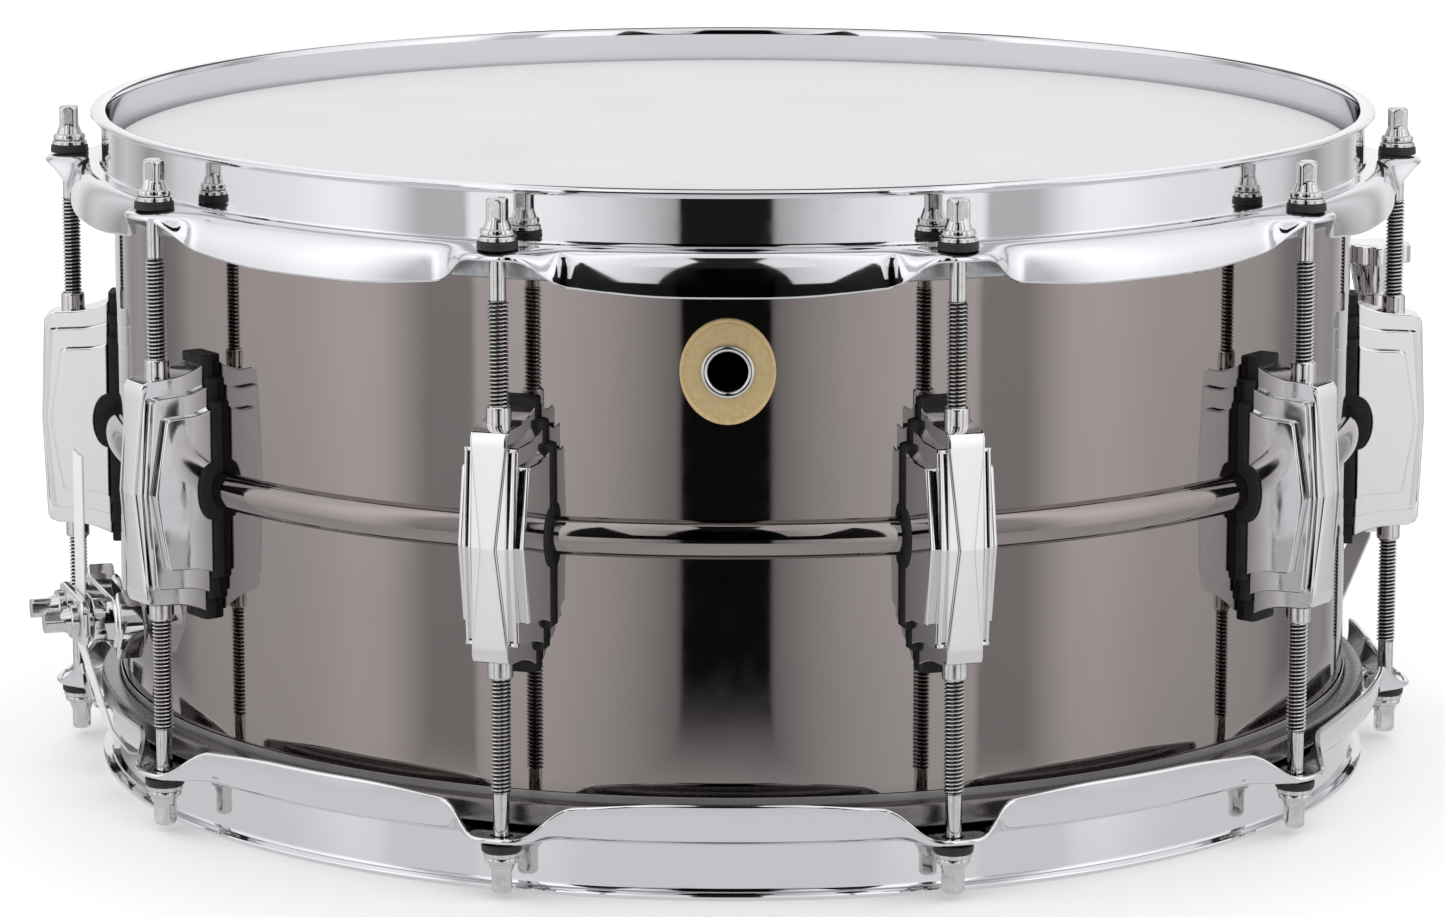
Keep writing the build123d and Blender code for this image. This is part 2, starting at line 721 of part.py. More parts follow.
# ---- butt plate -------------------------------------------------------------------
def make_butt():
    pad_r = BUTT_STRAP_R - STRAP_T / 2 - 0.1
    clamp_r = BUTT_STRAP_R + STRAP_T / 2 + 0.1
    clamp_t = 2.6
    with BuildPart() as casting:
        with BuildSketch(radial_plane(BUTT_ANGLE, SHELL_R - 4)):
            with Locations((-BUTT_FOOT_Y, BUTT_Z), (BUTT_FOOT_Y, BUTT_Z)):
                Circle(6.8)
        extrude(amount=185 - SHELL_R + 4)
        with BuildSketch(radial_plane(BUTT_ANGLE, 184.0)):
            with Locations((0, BUTT_Z)):
                SlotOverall(48, 14.5)
        extrude(amount=4.0)
        for side in (-1, 1):
            with BuildSketch(radial_plane(BUTT_ANGLE, 182.5)):
                with BuildLine():
                    tip = side * (BUTT_FOOT_Y + 3)
                    ThreePointArc((tip, BUTT_Z - 9.5), (tip + side * 5.5, BUTT_Z), (tip, BUTT_Z + 9.5))
                    ThreePointArc((tip, BUTT_Z + 9.5), (tip - side * 4.5, BUTT_Z), (tip, BUTT_Z - 9.5))
                make_face()
            extrude(amount=4.5)
        with BuildSketch(radial_plane(BUTT_ANGLE, 188.0)):
            with Locations((0, BUTT_Z)):
                SlotOverall(32, 13)
        extrude(amount=pad_r - 188.0)
        with BuildSketch(radial_plane(BUTT_ANGLE, 184)):
            with Locations((-BUTT_KEY_Y, BUTT_Z), (BUTT_KEY_Y, BUTT_Z)):
                Circle(KEY_SCREW_R + 0.02)
        extrude(amount=12, mode=Mode.SUBTRACT)
        with BuildSketch(radial_plane(BUTT_ANGLE, SHELL_R - 5)):
            with Locations((-BUTT_FOOT_Y, BUTT_Z), (BUTT_FOOT_Y, BUTT_Z)):
                Circle(LUG_SCREW_R + 0.02)
        extrude(amount=12, mode=Mode.SUBTRACT)
        with BuildSketch(Plane.XY.offset(BUTT_Z - 20)):
            Circle(SHELL_R + 0.02)
        extrude(amount=40, mode=Mode.SUBTRACT)
    save(casting.part, "butt_casting")
    plate = make_clamp_plate(BUTT_ANGLE, clamp_r, clamp_t, BUTT_Z, (33, 13), BUTT_KEY_Y)
    save(plate, "butt_clamp_plate")
    collar_r = clamp_r + clamp_t + 0.02
    screws = [
        make_key_screw(BUTT_ANGLE, y, BUTT_Z, collar_r, 185.0) for y in (-BUTT_KEY_Y, BUTT_KEY_Y)
    ]
    save_group(screws, "butt_key_screws")
    save(make_strap(BUTT_ANGLE, BUTT_STRAP_R, BUTT_STRAP_TOP, BUTT_Z), "butt_strap")


# ---- throw-off --------------------------------------------------------------------
THROW_SCREW_Z = (72.0, 106.0)
FRAME_BOTTOM = 66.0
FRAME_TOP = 117.8
CHEEK_IN = 9.0
CHEEK_OUT = 12.5
BACK_FRONT = 188.0
SLIDE_GAP = 0.35
SLIDE_HALF_WIDTH = CHEEK_IN - SLIDE_GAP
SLIDE_TOP = 108.0
SLIDE_BOTTOM = 50.5
THROW_KEY_Y = 8.5
ADJUSTER_SCREW_R = 1.9
ADJUSTER_END_Z = 90.0
FORK_IN = 2.6
FORK_OUT = 6.0
LEVER_BACK = FRAME_FRONT + 0.95


def box_between(angle, r0, r1, y0, y1, z0, z1, mode=Mode.ADD):
    """A block in the throw-off's own directions: radius, round the drum, height."""
    with BuildSketch(radial_plane(angle, r0)) as outline:
        with Locations(((y0 + y1) / 2, (z0 + z1) / 2)):
            Rectangle(y1 - y0, z1 - z0)
    extrude(outline.sketch, amount=r1 - r0, mode=mode)


def make_throw_off_base():
    a = THROW_OFF_ANGLE
    with BuildPart() as base:
        box_between(a, SHELL_R - 4, BACK_FRONT, -CHEEK_OUT, CHEEK_OUT, FRAME_BOTTOM, FRAME_TOP)
        for side in (-1, 1):
            low, high = sorted((side * CHEEK_IN, side * CHEEK_OUT))
            box_between(a, BACK_FRONT - 1, FRAME_FRONT, low, high, FRAME_BOTTOM, 92)
        box_between(a, SLIDE_FRONT + SLIDE_GAP, FRAME_FRONT, -CHEEK_OUT, CHEEK_OUT, FRAME_BOTTOM, 86)
        # the top shelf carries the adjuster
        box_between(a, BACK_FRONT - 1, KNOB_R + 6.5, -CHEEK_OUT + 4, CHEEK_OUT - 4, 113.5, FRAME_TOP)
        with BuildSketch(Plane.XY.offset(110)):
            with Locations(radial_point(a, KNOB_R, 0)):
                Circle(ADJUSTER_SCREW_R + 0.05)
        extrude(amount=12, mode=Mode.SUBTRACT)
        with BuildSketch(radial_plane(a, SLIDE_FRONT)):
            with Locations((0, PIN_Z)):
                Circle(2.0)
        extrude(amount=8, mode=Mode.SUBTRACT)
        with BuildSketch(radial_plane(a, SHELL_R - 5)):
            with Locations(*[(0, z) for z in THROW_SCREW_Z]):
                Circle(LUG_SCREW_R + 0.02)
        extrude(amount=9.5, mode=Mode.SUBTRACT)
    room = wall_band(150, 150, SHELL_R + 0.02, BEAD_R + 0.3, 0, BEAD_HALF + 0.5)
    save((base.part - room).solids().sort_by(SortBy.VOLUME)[-1], "throw_off_base")


def radial_point(angle, r, y):
    """The XY point at radius r, y round the drum from an angle."""
    a = radians(angle)
    return (r * cos(a) - y * sin(a), r * sin(a) + y * cos(a))


def make_slide():
    a = THROW_OFF_ANGLE
    with BuildPart() as block:
        box_between(
            a, BACK_FRONT + SLIDE_GAP, SLIDE_FRONT, -SLIDE_HALF_WIDTH, SLIDE_HALF_WIDTH, 62, SLIDE_TOP
        )
        # the foot that the strap is clamped to
        with BuildSketch(radial_plane(a, 195.0)):
            with Locations((0, THROW_CLAMP_Z)):
                RectangleRounded(31, 13, 4.0)
        extrude(amount=SLIDE_FRONT - 195.0)
        # the fork that straddles the adjuster's screw, open outward
        box_between(a, SLIDE_FRONT - 2, FRAME_FRONT + 0.2, -FORK_OUT, FORK_OUT, 96, 105)
        fork_back = KNOB_R - ADJUSTER_SCREW_R - 0.5
        box_between(a, fork_back, FRAME_FRONT + 2, -FORK_IN, FORK_IN, 90, 110, Mode.SUBTRACT)
        with BuildSketch(radial_plane(a, 190)):
            with Locations((-THROW_KEY_Y, THROW_CLAMP_Z), (THROW_KEY_Y, THROW_CLAMP_Z)):
                Circle(KEY_SCREW_R + 0.02)
        extrude(amount=12, mode=Mode.SUBTRACT)
    save(block.part, "slide_block")
    plate_r = THROW_STRAP_R + STRAP_T / 2 + 0.02
    plate = make_clamp_plate(a, plate_r, 2.4, THROW_CLAMP_Z, (31, 12), THROW_KEY_Y)
    save(plate, "slide_clamp_plate")
    collar_r = plate_r + 2.42
    screws = [
        make_key_screw(a, y, THROW_CLAMP_Z, collar_r, 194.0) for y in (-THROW_KEY_Y, THROW_KEY_Y)
    ]
    save_group(screws, "slide_key_screws")
    save(make_strap(a, THROW_STRAP_R, THROW_CLAMP_Z + 7.2, THROW_CLAMP_Z), "throw_off_strap")


def make_lever():
    a = THROW_OFF_ANGLE
    with BuildPart() as lever:
        with BuildSketch(radial_plane(a, LEVER_BACK)):
            with Locations((0, PIN_Z)):
                Circle(7.5)
            with BuildLine():
                Polyline((-5.5, PIN_Z), (5.5, PIN_Z), (4.0, 104), (-4.0, 104), close=True)
            make_face()
            with Locations((0, 104)):
                Circle(5.2)
        extrude(amount=3.6)
        with BuildSketch(radial_plane(a, LEVER_BACK - 1)):
            with Locations((0, PIN_Z)):
                Circle(2.06)
        extrude(amount=8, mode=Mode.SUBTRACT)
    save(lever.part, "throw_off_lever")
    with BuildPart() as pin:
        with BuildSketch(radial_plane(a, SLIDE_FRONT + SLIDE_GAP + 0.1)):
            with Locations((0, PIN_Z)):
                Circle(1.98)
        extrude(amount=LEVER_BACK + 3.95 - SLIDE_FRONT - SLIDE_GAP - 0.1)
        with BuildSketch(radial_plane(a, LEVER_BACK + 3.95)):
            with Locations((0, PIN_Z)):
                Circle(3.6)
        extrude(amount=1.0)
    save(pin.part, "lever_pin")


def make_adjuster():
    """Scalloped disc on a tapered stem, with its screw, on the throw-off's top shelf."""
    base_z = FRAME_TOP + 0.3
    with BuildPart() as knob:
        with BuildSketch(Plane.XY.offset(base_z)):
            Circle(6.3)
        extrude(amount=4.2)
        with BuildSketch(Plane.XY.offset(base_z + 4.2)):
            Circle(6.6)
        extrude(amount=9.2, taper=-11)
        with BuildSketch(Plane.XY.offset(base_z + 13.4)):
            Circle(10.3)
            with PolarLocations(11.6, 10, start_angle=18):
                Circle(2.4, mode=Mode.SUBTRACT)
        extrude(amount=6.0)
        with BuildSketch(Plane.XY.offset(ADJUSTER_END_Z)):
            Circle(ADJUSTER_SCREW_R)
        extrude(amount=base_z - ADJUSTER_END_Z)
    x, y = radial_point(THROW_OFF_ANGLE, KNOB_R, 0)
    save(knob.part.moved(Location((x, y, 0))), "adjuster_knob")


def make_strainer_screws():
    pieces = []
    for across in (-BUTT_FOOT_Y, BUTT_FOOT_Y):
        pieces += make_shell_screw(BUTT_ANGLE, BUTT_Z, across, tip_r=184.0)
    for z in THROW_SCREW_Z:
        pieces += make_shell_screw(THROW_OFF_ANGLE, z, tip_r=181.5)
    save_group(pieces, "strainer_screws_and_washers")


make_shell()
make_badge_and_vent()
make_lugs()
make_heads()
make_hoops()
make_rods()
make_snares()
make_butt()
make_throw_off_base()
make_slide()
make_lever()
make_adjuster()
make_strainer_screws()
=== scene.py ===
"""Looks for the snare drum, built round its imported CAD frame. Lengths here are millimetres."""

from math import ceil, cos, hypot, pi, radians, sin, sqrt, tan

import bmesh
import bpy
from mathutils import Matrix, Vector


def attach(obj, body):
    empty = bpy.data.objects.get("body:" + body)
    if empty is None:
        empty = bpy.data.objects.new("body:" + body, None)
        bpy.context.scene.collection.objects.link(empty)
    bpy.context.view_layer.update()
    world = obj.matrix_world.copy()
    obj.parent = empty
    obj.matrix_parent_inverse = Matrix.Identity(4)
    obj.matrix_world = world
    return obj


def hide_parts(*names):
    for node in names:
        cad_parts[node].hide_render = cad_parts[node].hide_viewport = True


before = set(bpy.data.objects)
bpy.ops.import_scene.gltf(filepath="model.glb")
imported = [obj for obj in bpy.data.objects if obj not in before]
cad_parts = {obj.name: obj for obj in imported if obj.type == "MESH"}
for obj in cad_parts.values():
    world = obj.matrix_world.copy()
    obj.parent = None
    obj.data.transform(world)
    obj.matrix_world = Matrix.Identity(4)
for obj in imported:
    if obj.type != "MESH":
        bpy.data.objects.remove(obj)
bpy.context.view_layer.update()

MM = 0.001
LUG_COUNT = 10
LUG_PITCH = 36.0
LUG_ANGLES = [-72.0 + LUG_PITCH * i for i in range(LUG_COUNT)]
THROW_ANGLE = 18.0
BUTT_ANGLE = 198.0
BADGE_ANGLE = -90.0
BADGE_Z = 140.0
DRUM_HEIGHT = 188.0
SHELL_MID = 95.5
SHELL_R = 177.8
SHELL_T = 1.2
BEAD_R = 181.6
BEAD_HALF = 5.2
ROD_R = 191.5
STRAP_SIZE = (0.8, 12.0)
BUTT_Z = 49.5
CLAMP_Z = 57.5
PIN_Z = 76.0


# ---- mesh helpers -----------------------------------------------------------------
def side(u, v, w):
    """Outline in radius and height, drawn out round the drum."""
    return (u, w, v)


def cast_side(u, v, w):
    """As side, with the casting's draft: a little wider towards the shell."""
    draft = 0.062 * (196.0 - u)
    return (u, w + (draft if w > 0 else -draft), v)


def face_on(u, v, w):
    """Outline round the drum and up, drawn out along the radius."""
    return (w, u, v)


def plan(u, v, w):
    """Outline seen from above, drawn out upward."""
    return (u, v, w)


def spun(angle):
    """A turn round the drum's axis, in degrees."""
    return Matrix.Rotation(radians(angle), 4, "Z")


class Shape:
    """Vertices and faces of one piece, gathered from several simple solids."""

    def __init__(self):
        self.verts = []
        self.faces = []

    def add(self, solid, matrix=None):
        verts, faces = solid
        start = len(self.verts)
        if matrix is not None:
            verts = [tuple(matrix @ Vector(v)) for v in verts]
        self.verts += verts
        self.faces += [tuple(i + start for i in f) for f in faces]
        return self

    def mesh(self, name, crease=30.0):
        data = bpy.data.meshes.new(name)
        data.from_pydata([(x * MM, y * MM, z * MM) for x, y, z in self.verts], [], self.faces)
        tidy_mesh(data, crease)
        return data


def tidy_mesh(data, crease):
    """Welds, faces outward and marks the edges sharper than the crease angle."""
    bm = bmesh.new()
    bm.from_mesh(data)
    bmesh.ops.remove_doubles(bm, verts=bm.verts, dist=2e-7)
    bmesh.ops.dissolve_degenerate(bm, edges=bm.edges, dist=1e-7)
    bmesh.ops.recalc_face_normals(bm, faces=bm.faces)
    mark_edges(bm, crease)
    bm.to_mesh(data)
    bm.free()


def mark_edges(bm, crease):
    limit = radians(crease)
    for f in bm.faces:
        f.smooth = True
    for e in bm.edges:
        e.smooth = len(e.link_faces) != 2 or e.calc_face_angle(0.0) < limit


def grid_faces(rows, columns, wrap_rows=True, wrap_columns=True):
    """Quads over a grid of vertices numbered row by row."""
    faces = []
    for i in range(rows if wrap_rows else rows - 1):
        for j in range(columns if wrap_columns else columns - 1):
            a = i * columns + j
            b = i * columns + (j + 1) % columns
            c = ((i + 1) % rows) * columns + (j + 1) % columns
            d = ((i + 1) % rows) * columns + j
            faces.append((a, b, c, d))
    return faces


def capped(rows, columns):
    """The faces of a tube whose rings have columns vertices, with both ends closed."""
    last = (rows - 1) * columns
    ends = [tuple(range(columns)), tuple(range(last, last + columns))]
    return grid_faces(rows, columns, False, True) + ends


def outward(solid, across, up, start=0.0):
    """A solid turned about Z, laid along the radius."""
    verts, faces = solid
    return [(start + h, across + x, up + y) for x, y, h in verts], faces


def lathe(profile, steps=96, closed=True):
    """A profile of (radius, height) turned about the Z axis."""
    verts = []
    for i in range(steps):
        a = 2 * pi * i / steps
        verts += [(r * cos(a), r * sin(a), z) for r, z in profile]
    return verts, grid_faces(steps, len(profile), True, closed)


def rounded(points, steps=4):
    """An outline whose corners (u, v, radius) are turned into arcs."""
    out = []
    count = len(points)
    for i, point in enumerate(points):
        radius = point[2] if len(point) > 2 else 0.0
        if radius <= 0:
            out.append((point[0], point[1]))
            continue
        here = Vector(point[:2])
        back = (Vector(points[i - 1][:2]) - here).normalized()
        ahead = (Vector(points[(i + 1) % count][:2]) - here).normalized()
        half = back.angle(ahead) / 2
        reach = radius / tan(half)
        centre = here + (back + ahead).normalized() * (radius / sin(half))
        start = here + back * reach - centre
        end = here + ahead * reach - centre
        sweep = start.angle_signed(end)
        for k in range(steps + 1):
            c, s = cos(-sweep * k / steps), sin(-sweep * k / steps)
            arm = Vector((start.x * c - start.y * s, start.x * s + start.y * c))
            out.append(tuple(centre + arm))
    return out


def area(outline):
    total = 0.0
    for (x0, y0), (x1, y1) in zip(outline, outline[1:] + outline[:1]):
        total += x0 * y1 - x1 * y0
    return total / 2


def inset(outline, distance):
    """The outline moved inward, corner by corner."""
    if distance == 0:
        return list(outline)
    way = 1 if area(outline) > 0 else -1
    out = []
    count = len(outline)
    for i in range(count):
        a = Vector(outline[i - 1])
        b = Vector(outline[i])
        c = Vector(outline[(i + 1) % count])
        d0 = (b - a).normalized()
        d1 = (c - b).normalized()
        n0 = Vector((-d0.y, d0.x)) * way
        n1 = Vector((-d1.y, d1.x)) * way
        miter = n0 + n1
        if miter.length < 1e-6:
            miter = n0
        miter.normalize()
        out.append(tuple(b + miter * (distance / max(0.4, miter.dot(n0)))))
    return out


def prism(outline, low, high, bevel=0.4, place=plan, segments=2):
    """An outline drawn out from low to high, with rounded edges round both ends."""
    rings = []
    for k in range(segments + 1):
        turn = pi / 2 * k / segments
        rings.append((bevel * (1 - sin(turn)), low + bevel * (1 - cos(turn))))
    rings += [(d, low + high - w) for d, w in reversed(rings)]
    count = len(outline)
    verts = []
    for distance, w in rings:
        verts += [place(u, v, w) for u, v in inset(outline, distance)]
    faces = grid_faces(len(rings), count, False, True)
    faces.append(tuple(reversed(range(count))))
    last = (len(rings) - 1) * count
    faces.append(tuple(range(last, last + count)))
    return verts, faces


def circle(radius, steps, u, v):
    turns = [2 * pi * i / steps for i in range(steps)]
    return [(u + radius * cos(a), v + radius * sin(a)) for a in turns]


def box_outline(width, height, radius, u, v):
    a, b = width / 2, height / 2
    corners = ((u - a, v - b), (u + a, v - b), (u + a, v + b), (u - a, v + b))
    return rounded([(*corner, radius) for corner in corners], 6)


def finished(name, data, body, slot_name, material, angle=0.0, nodes=(), flat=True):
    """One piece in the scene: its mesh, material, body and the CAD nodes it stands for."""
    piece = bpy.data.objects.new(name, data)
    bpy.context.collection.objects.link(piece)
    piece.matrix_world = spun(angle)
    if not data.materials:
        data.materials.append(material)
    if flat:
        weights = piece.modifiers.new("weights", "WEIGHTED_NORMAL")
        weights.keep_sharp = True
    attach(piece, body)
    if nodes:
        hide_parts(*nodes)
    return piece


def build(shape, name, crease, *rest, **options):
    """As finished, from a shape whose mesh takes the piece's name."""
    return finished(name, shape.mesh(name, crease), *rest, **options)


def repaint(node, material):
    """A CAD node that keeps its shape gets the better material."""
    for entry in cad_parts[node].material_slots:
        entry.material = material


def cut(piece, cutter_shape):
    """Takes the cutter's solids out of a piece for good."""
    data = cutter_shape.mesh("cutter")
    cutter = bpy.data.objects.new("cutter", data)
    bpy.context.collection.objects.link(cutter)
    cutter.matrix_world = piece.matrix_world
    boolean = piece.modifiers.new("cut", "BOOLEAN")
    boolean.operation = "DIFFERENCE"
    boolean.solver = "EXACT"
    boolean.object = cutter
    bpy.context.view_layer.update()
    graph = bpy.context.evaluated_depsgraph_get()
    result = bpy.data.meshes.new_from_object(piece.evaluated_get(graph))
    piece.modifiers.remove(boolean)
    piece.data = result
    bpy.data.objects.remove(cutter)
    bm = bmesh.new()
    bm.from_mesh(result)
    mark_edges(bm, 28)
    bm.to_mesh(result)
    bm.free()


# ---- materials --------------------------------------------------------------------
def map_range(tree, value, start, end, low, high):
    node = tree.nodes.new("ShaderNodeMapRange")
    for key, number in (("From Min", start), ("From Max", end), ("To Min", low), ("To Max", high)):
        node.inputs[key].default_value = number
    tree.links.new(value, node.inputs["Value"])
    return node.outputs["Result"]


class Paint:
    """A Principled material with helpers for its procedural detail."""

    def __init__(self, name, color, metallic, roughness):
        self.material = bpy.data.materials.new(name)
        self.material.use_nodes = True
        self.tree = self.material.node_tree
        self.link = self.tree.links.new
        self.nodes = self.tree.nodes
        self.shader = self.nodes["Principled BSDF"]
        self.shader.inputs["Base Color"].default_value = (*color, 1)
        self.shader.inputs["Metallic"].default_value = metallic
        self.shader.inputs["Roughness"].default_value = roughness
        self.color = color
        self.coordinates = self.nodes.new("ShaderNodeTexCoord")
        self.normal = None

    def noise(self, size, detail, stretch=(1, 1, 1)):
        """A noise value whose features are about size millimetres."""
        mapping = self.nodes.new("ShaderNodeMapping")
        mapping.inputs["Scale"].default_value = [1 / s for s in stretch]
        self.link(self.coordinates.outputs["Object"], mapping.inputs["Vector"])
        texture = self.nodes.new("ShaderNodeTexNoise")
        texture.inputs["Scale"].default_value = 1 / (size * MM)
        texture.inputs["Detail"].default_value = detail
        texture.inputs["Roughness"].default_value = 0.55
        self.link(mapping.outputs["Vector"], texture.inputs["Vector"])
        return texture.outputs["Fac"]

    def axis_distance(self):
        """Distance from the piece's own Z axis, in metres."""
        flat = self.nodes.new("ShaderNodeVectorMath")
        flat.operation = "MULTIPLY"
        flat.inputs[1].default_value = (1, 1, 0)
        self.link(self.coordinates.outputs["Object"], flat.inputs[0])
        length = self.nodes.new("ShaderNodeVectorMath")
        length.operation = "LENGTH"
        self.link(flat.outputs["Vector"], length.inputs[0])
        return length.outputs["Value"]

    def vary_color(self, value, other, start, end):
        mix = self.nodes.new("ShaderNodeMix")
        mix.data_type = "RGBA"
        mix.inputs["A"].default_value = (*self.color, 1)
        mix.inputs["B"].default_value = (*other, 1)
        self.link(map_range(self.tree, value, start, end, 0, 1), mix.inputs["Factor"])
        self.link(mix.outputs["Result"], self.shader.inputs["Base Color"])

    def vary_roughness(self, value, low, high):
        ranged = map_range(self.tree, value, 0.3, 0.7, low, high)
        self.link(ranged, self.shader.inputs["Roughness"])

    def bump(self, value, height):
        """Height in millimetres; several bumps add up."""
        node = self.nodes.new("ShaderNodeBump")
        node.inputs["Strength"].default_value = 1.0
        node.inputs["Distance"].default_value = height * MM
        self.link(value, node.inputs["Height"])
        if self.normal is not None:
            self.link(self.normal, node.inputs["Normal"])
        self.normal = node.outputs["Normal"]
        self.link(self.normal, self.shader.inputs["Normal"])


# One row per material: key, name, colour, metallic, roughness, then its detail. Roughness
# detail is (noise size in mm, octaves, low, high), colour detail is (size, octaves, other
# colour), and bumps are (size, octaves, height in mm).
MATERIALS = (
    ("chrome", "chrome_sheet", (0.76, 0.765, 0.78), 1.0, 0.04, (7, 4, 0.025, 0.075), None, [(26, 1, 0.030)]),
    ("cast", "chrome_cast", (0.79, 0.79, 0.80), 1.0, 0.05, (5, 4, 0.03, 0.10), None, [(9, 1.5, 0.045)]),
    ("bright", "bright_steel", (0.70, 0.69, 0.67), 1.0, 0.12, (2, 3, 0.07, 0.2), None, [(0.8, 3, 0.004)]),
    ("steel", "plain_steel", (0.56, 0.56, 0.57), 1.0, 0.22, (1.5, 4, 0.16, 0.34),
     (4, 3, (0.46, 0.455, 0.45)), [(0.5, 3, 0.004)]),
    ("nickel", "black_nickel", (0.335, 0.297, 0.287), 1.0, 0.035, (9, 5, 0.025, 0.07),
     (60, 2, (0.315, 0.282, 0.275)), [(34, 1, 0.020)]),
    ("rod", "rod_chrome", (0.72, 0.71, 0.70), 1.0, 0.09, (1.2, 3, 0.06, 0.16),
     (2.5, 3, (0.60, 0.585, 0.575)), []),
    # the thread's dark base colour is painted shade in the thread roots; it lightens to the lit crest colour
    # further out
    ("thread", "rod_thread", (0.085, 0.08, 0.078), 1.0, 0.10, (1.0, 3, 0.08, 0.22), None, []),
    ("rubber", "black_rubber", (0.012, 0.012, 0.013), 0.0, 0.62, (1.6, 4, 0.5, 0.78),
     (3, 3, (0.018, 0.018, 0.019)), [(0.9, 4, 0.05)]),
    ("nylon", "black_nylon", (0.02, 0.02, 0.022), 0.0, 0.42, (1.2, 3, 0.33, 0.55), None, [(0.5, 3, 0.01)]),
    ("white_nylon", "white_nylon", (0.72, 0.71, 0.67), 0.0, 0.45, None, None, [(0.6, 3, 0.01)]),
    ("brass", "badge_brass", (0.68, 0.52, 0.26), 0.8, 0.5, (0.7, 4, 0.42, 0.6),
     (1.4, 4, (0.76, 0.61, 0.35)), [(0.35, 3, 0.006)]),
    ("aluminium", "rolled_aluminium", (0.47, 0.475, 0.49), 1.0, 0.42, (1.6, 5, 0.32, 0.58),
     (2.6, 5, (0.56, 0.57, 0.59)), [(1.1, 5, 0.03)]),
    # the snare-side flesh hoop's copy of the same aluminium, darkened as painted shade
    ("aluminium_painted_shade", "aluminium_painted_shade", (0.165, 0.156, 0.150), 1.0, 0.26, (1.6, 5, 0.22, 0.32),
     (3.5, 5, (0.20, 0.19, 0.182)), [(1.1, 5, 0.004)]),
    ("coated", "coated_film", (0.665, 0.66, 0.675), 0.0, 0.75, (3, 4, 0.66, 0.86),
     (45, 4, (0.635, 0.632, 0.645)), [(0.35, 4, 0.035), (1.1, 2, 0.02)]),
    ("clear", "hazy_film", (0.20, 0.195, 0.19), 0.0, 0.16, (12, 4, 0.12, 0.26),
     (30, 3, (0.235, 0.23, 0.222)), [(60, 1, 0.05)]),
    ("strap", "polyester_strap", (0.80, 0.795, 0.775), 0.0, 0.42, (4, 4, 0.34, 0.46),
     (9, 4, (0.76, 0.755, 0.735)), [(3, 2, 0.03)]),
)
# the lit crest colour of the thread, the light end of the painted root shade
THREAD_CREST_LIT = (0.80, 0.79, 0.78)
BRUSHED = (6, 1, 1)
MIX_RANGE = {"aluminium": (0.35, 0.65), "aluminium_painted_shade": (0.35, 0.65)}
SOCKETS = {
    "rubber": {"Specular IOR Level": 0.2},
    "nylon": {"Specular IOR Level": 0.3},
    "clear": {"Coat Weight": 0.5, "Coat Roughness": 0.06},
}


def make_materials():
    made = {}
    for key, name, color, metallic, roughness, rough, tint, bumps in MATERIALS:
        paint = Paint(name, color, metallic, roughness)
        if rough:
            grain = BRUSHED if key == "brass" else (1, 1, 1)
            paint.vary_roughness(paint.noise(rough[0], rough[1], grain), rough[2], rough[3])
        if tint:
            paint.vary_color(paint.noise(tint[0], tint[1]), tint[2], *MIX_RANGE.get(key, (0.3, 0.7)))
        # painted shade: the thread darkens from crest to root with distance from the rod's axis
        if key == "thread":
            root, crest = (ROOT_R + 0.12) * MM, (CREST_R - 0.10) * MM
            paint.vary_color(paint.axis_distance(), THREAD_CREST_LIT, root, crest)
        for size, detail, height in bumps:
            paint.bump(paint.noise(size, detail), height)
        for socket, value in SOCKETS.get(key, {}).items():
            paint.shader.inputs[socket].default_value = value
        made[key] = paint.material
    return made


# ---- shell and heads --------------------------------------------------------------
def shell_profile():
    """The beaded wall as a closed section, with turned-in bearing edges."""
    low, high = 12.95, 178.05
    outside = [(171.4, low + 4.0), (173.2, low + 1.9), (174.6, low + 0.5), (175.4, low)]
    outside += [(176.4, low + 0.45), (177.3, low + 1.5), (SHELL_R, low + 3.2)]
    outside += [(SHELL_R, z) for z in (30, 50, 70, SHELL_MID - BEAD_HALF - 2.2)]
    outside += bead(SHELL_R, BEAD_R, BEAD_HALF)
    outside += [(SHELL_R, z) for z in (SHELL_MID + BEAD_HALF + 2.2, 120, 140, 160)]
    outside += [(SHELL_R, high - 3.2), (177.3, high - 1.5), (176.4, high - 0.45), (175.4, high)]
    outside += [(174.6, high - 0.5), (173.2, high - 1.9), (171.4, high - 4.0)]
    inner = SHELL_R - SHELL_T
    inside = [(172.2, high - 4.8), (174.2, high - 2.9), (175.6, high - 2.2), (inner, high - 4.0)]
    inside += reversed(bead(inner, BEAD_R - SHELL_T, BEAD_HALF))
    inside += [(inner, low + 4.0), (175.6, low + 2.2), (174.2, low + 2.9), (172.2, low + 4.8)]
    return outside + inside


def bead(wall, crown, half):
    """Half-round bead points, from below to above."""
    across = [-1 + 2 * k / 32 for k in range(33)]
    return [(wall + (crown - wall) * sqrt(max(0.0, 1 - t * t)), SHELL_MID + t * half) for t in across]


def make_shell(m):
    wall = Shape().add(lathe(shell_profile(), 384))
    shell = build(wall, "shell_skin", 40, "drum", "black_nickel", m["nickel"], 0, ("shell",), flat=False)
    vent = prism(circle(6.0, 40, 0, BADGE_Z), 170, 184, 0.0, face_on, 1)
    cut(shell, Shape().add(vent, spun(BADGE_ANGLE)))


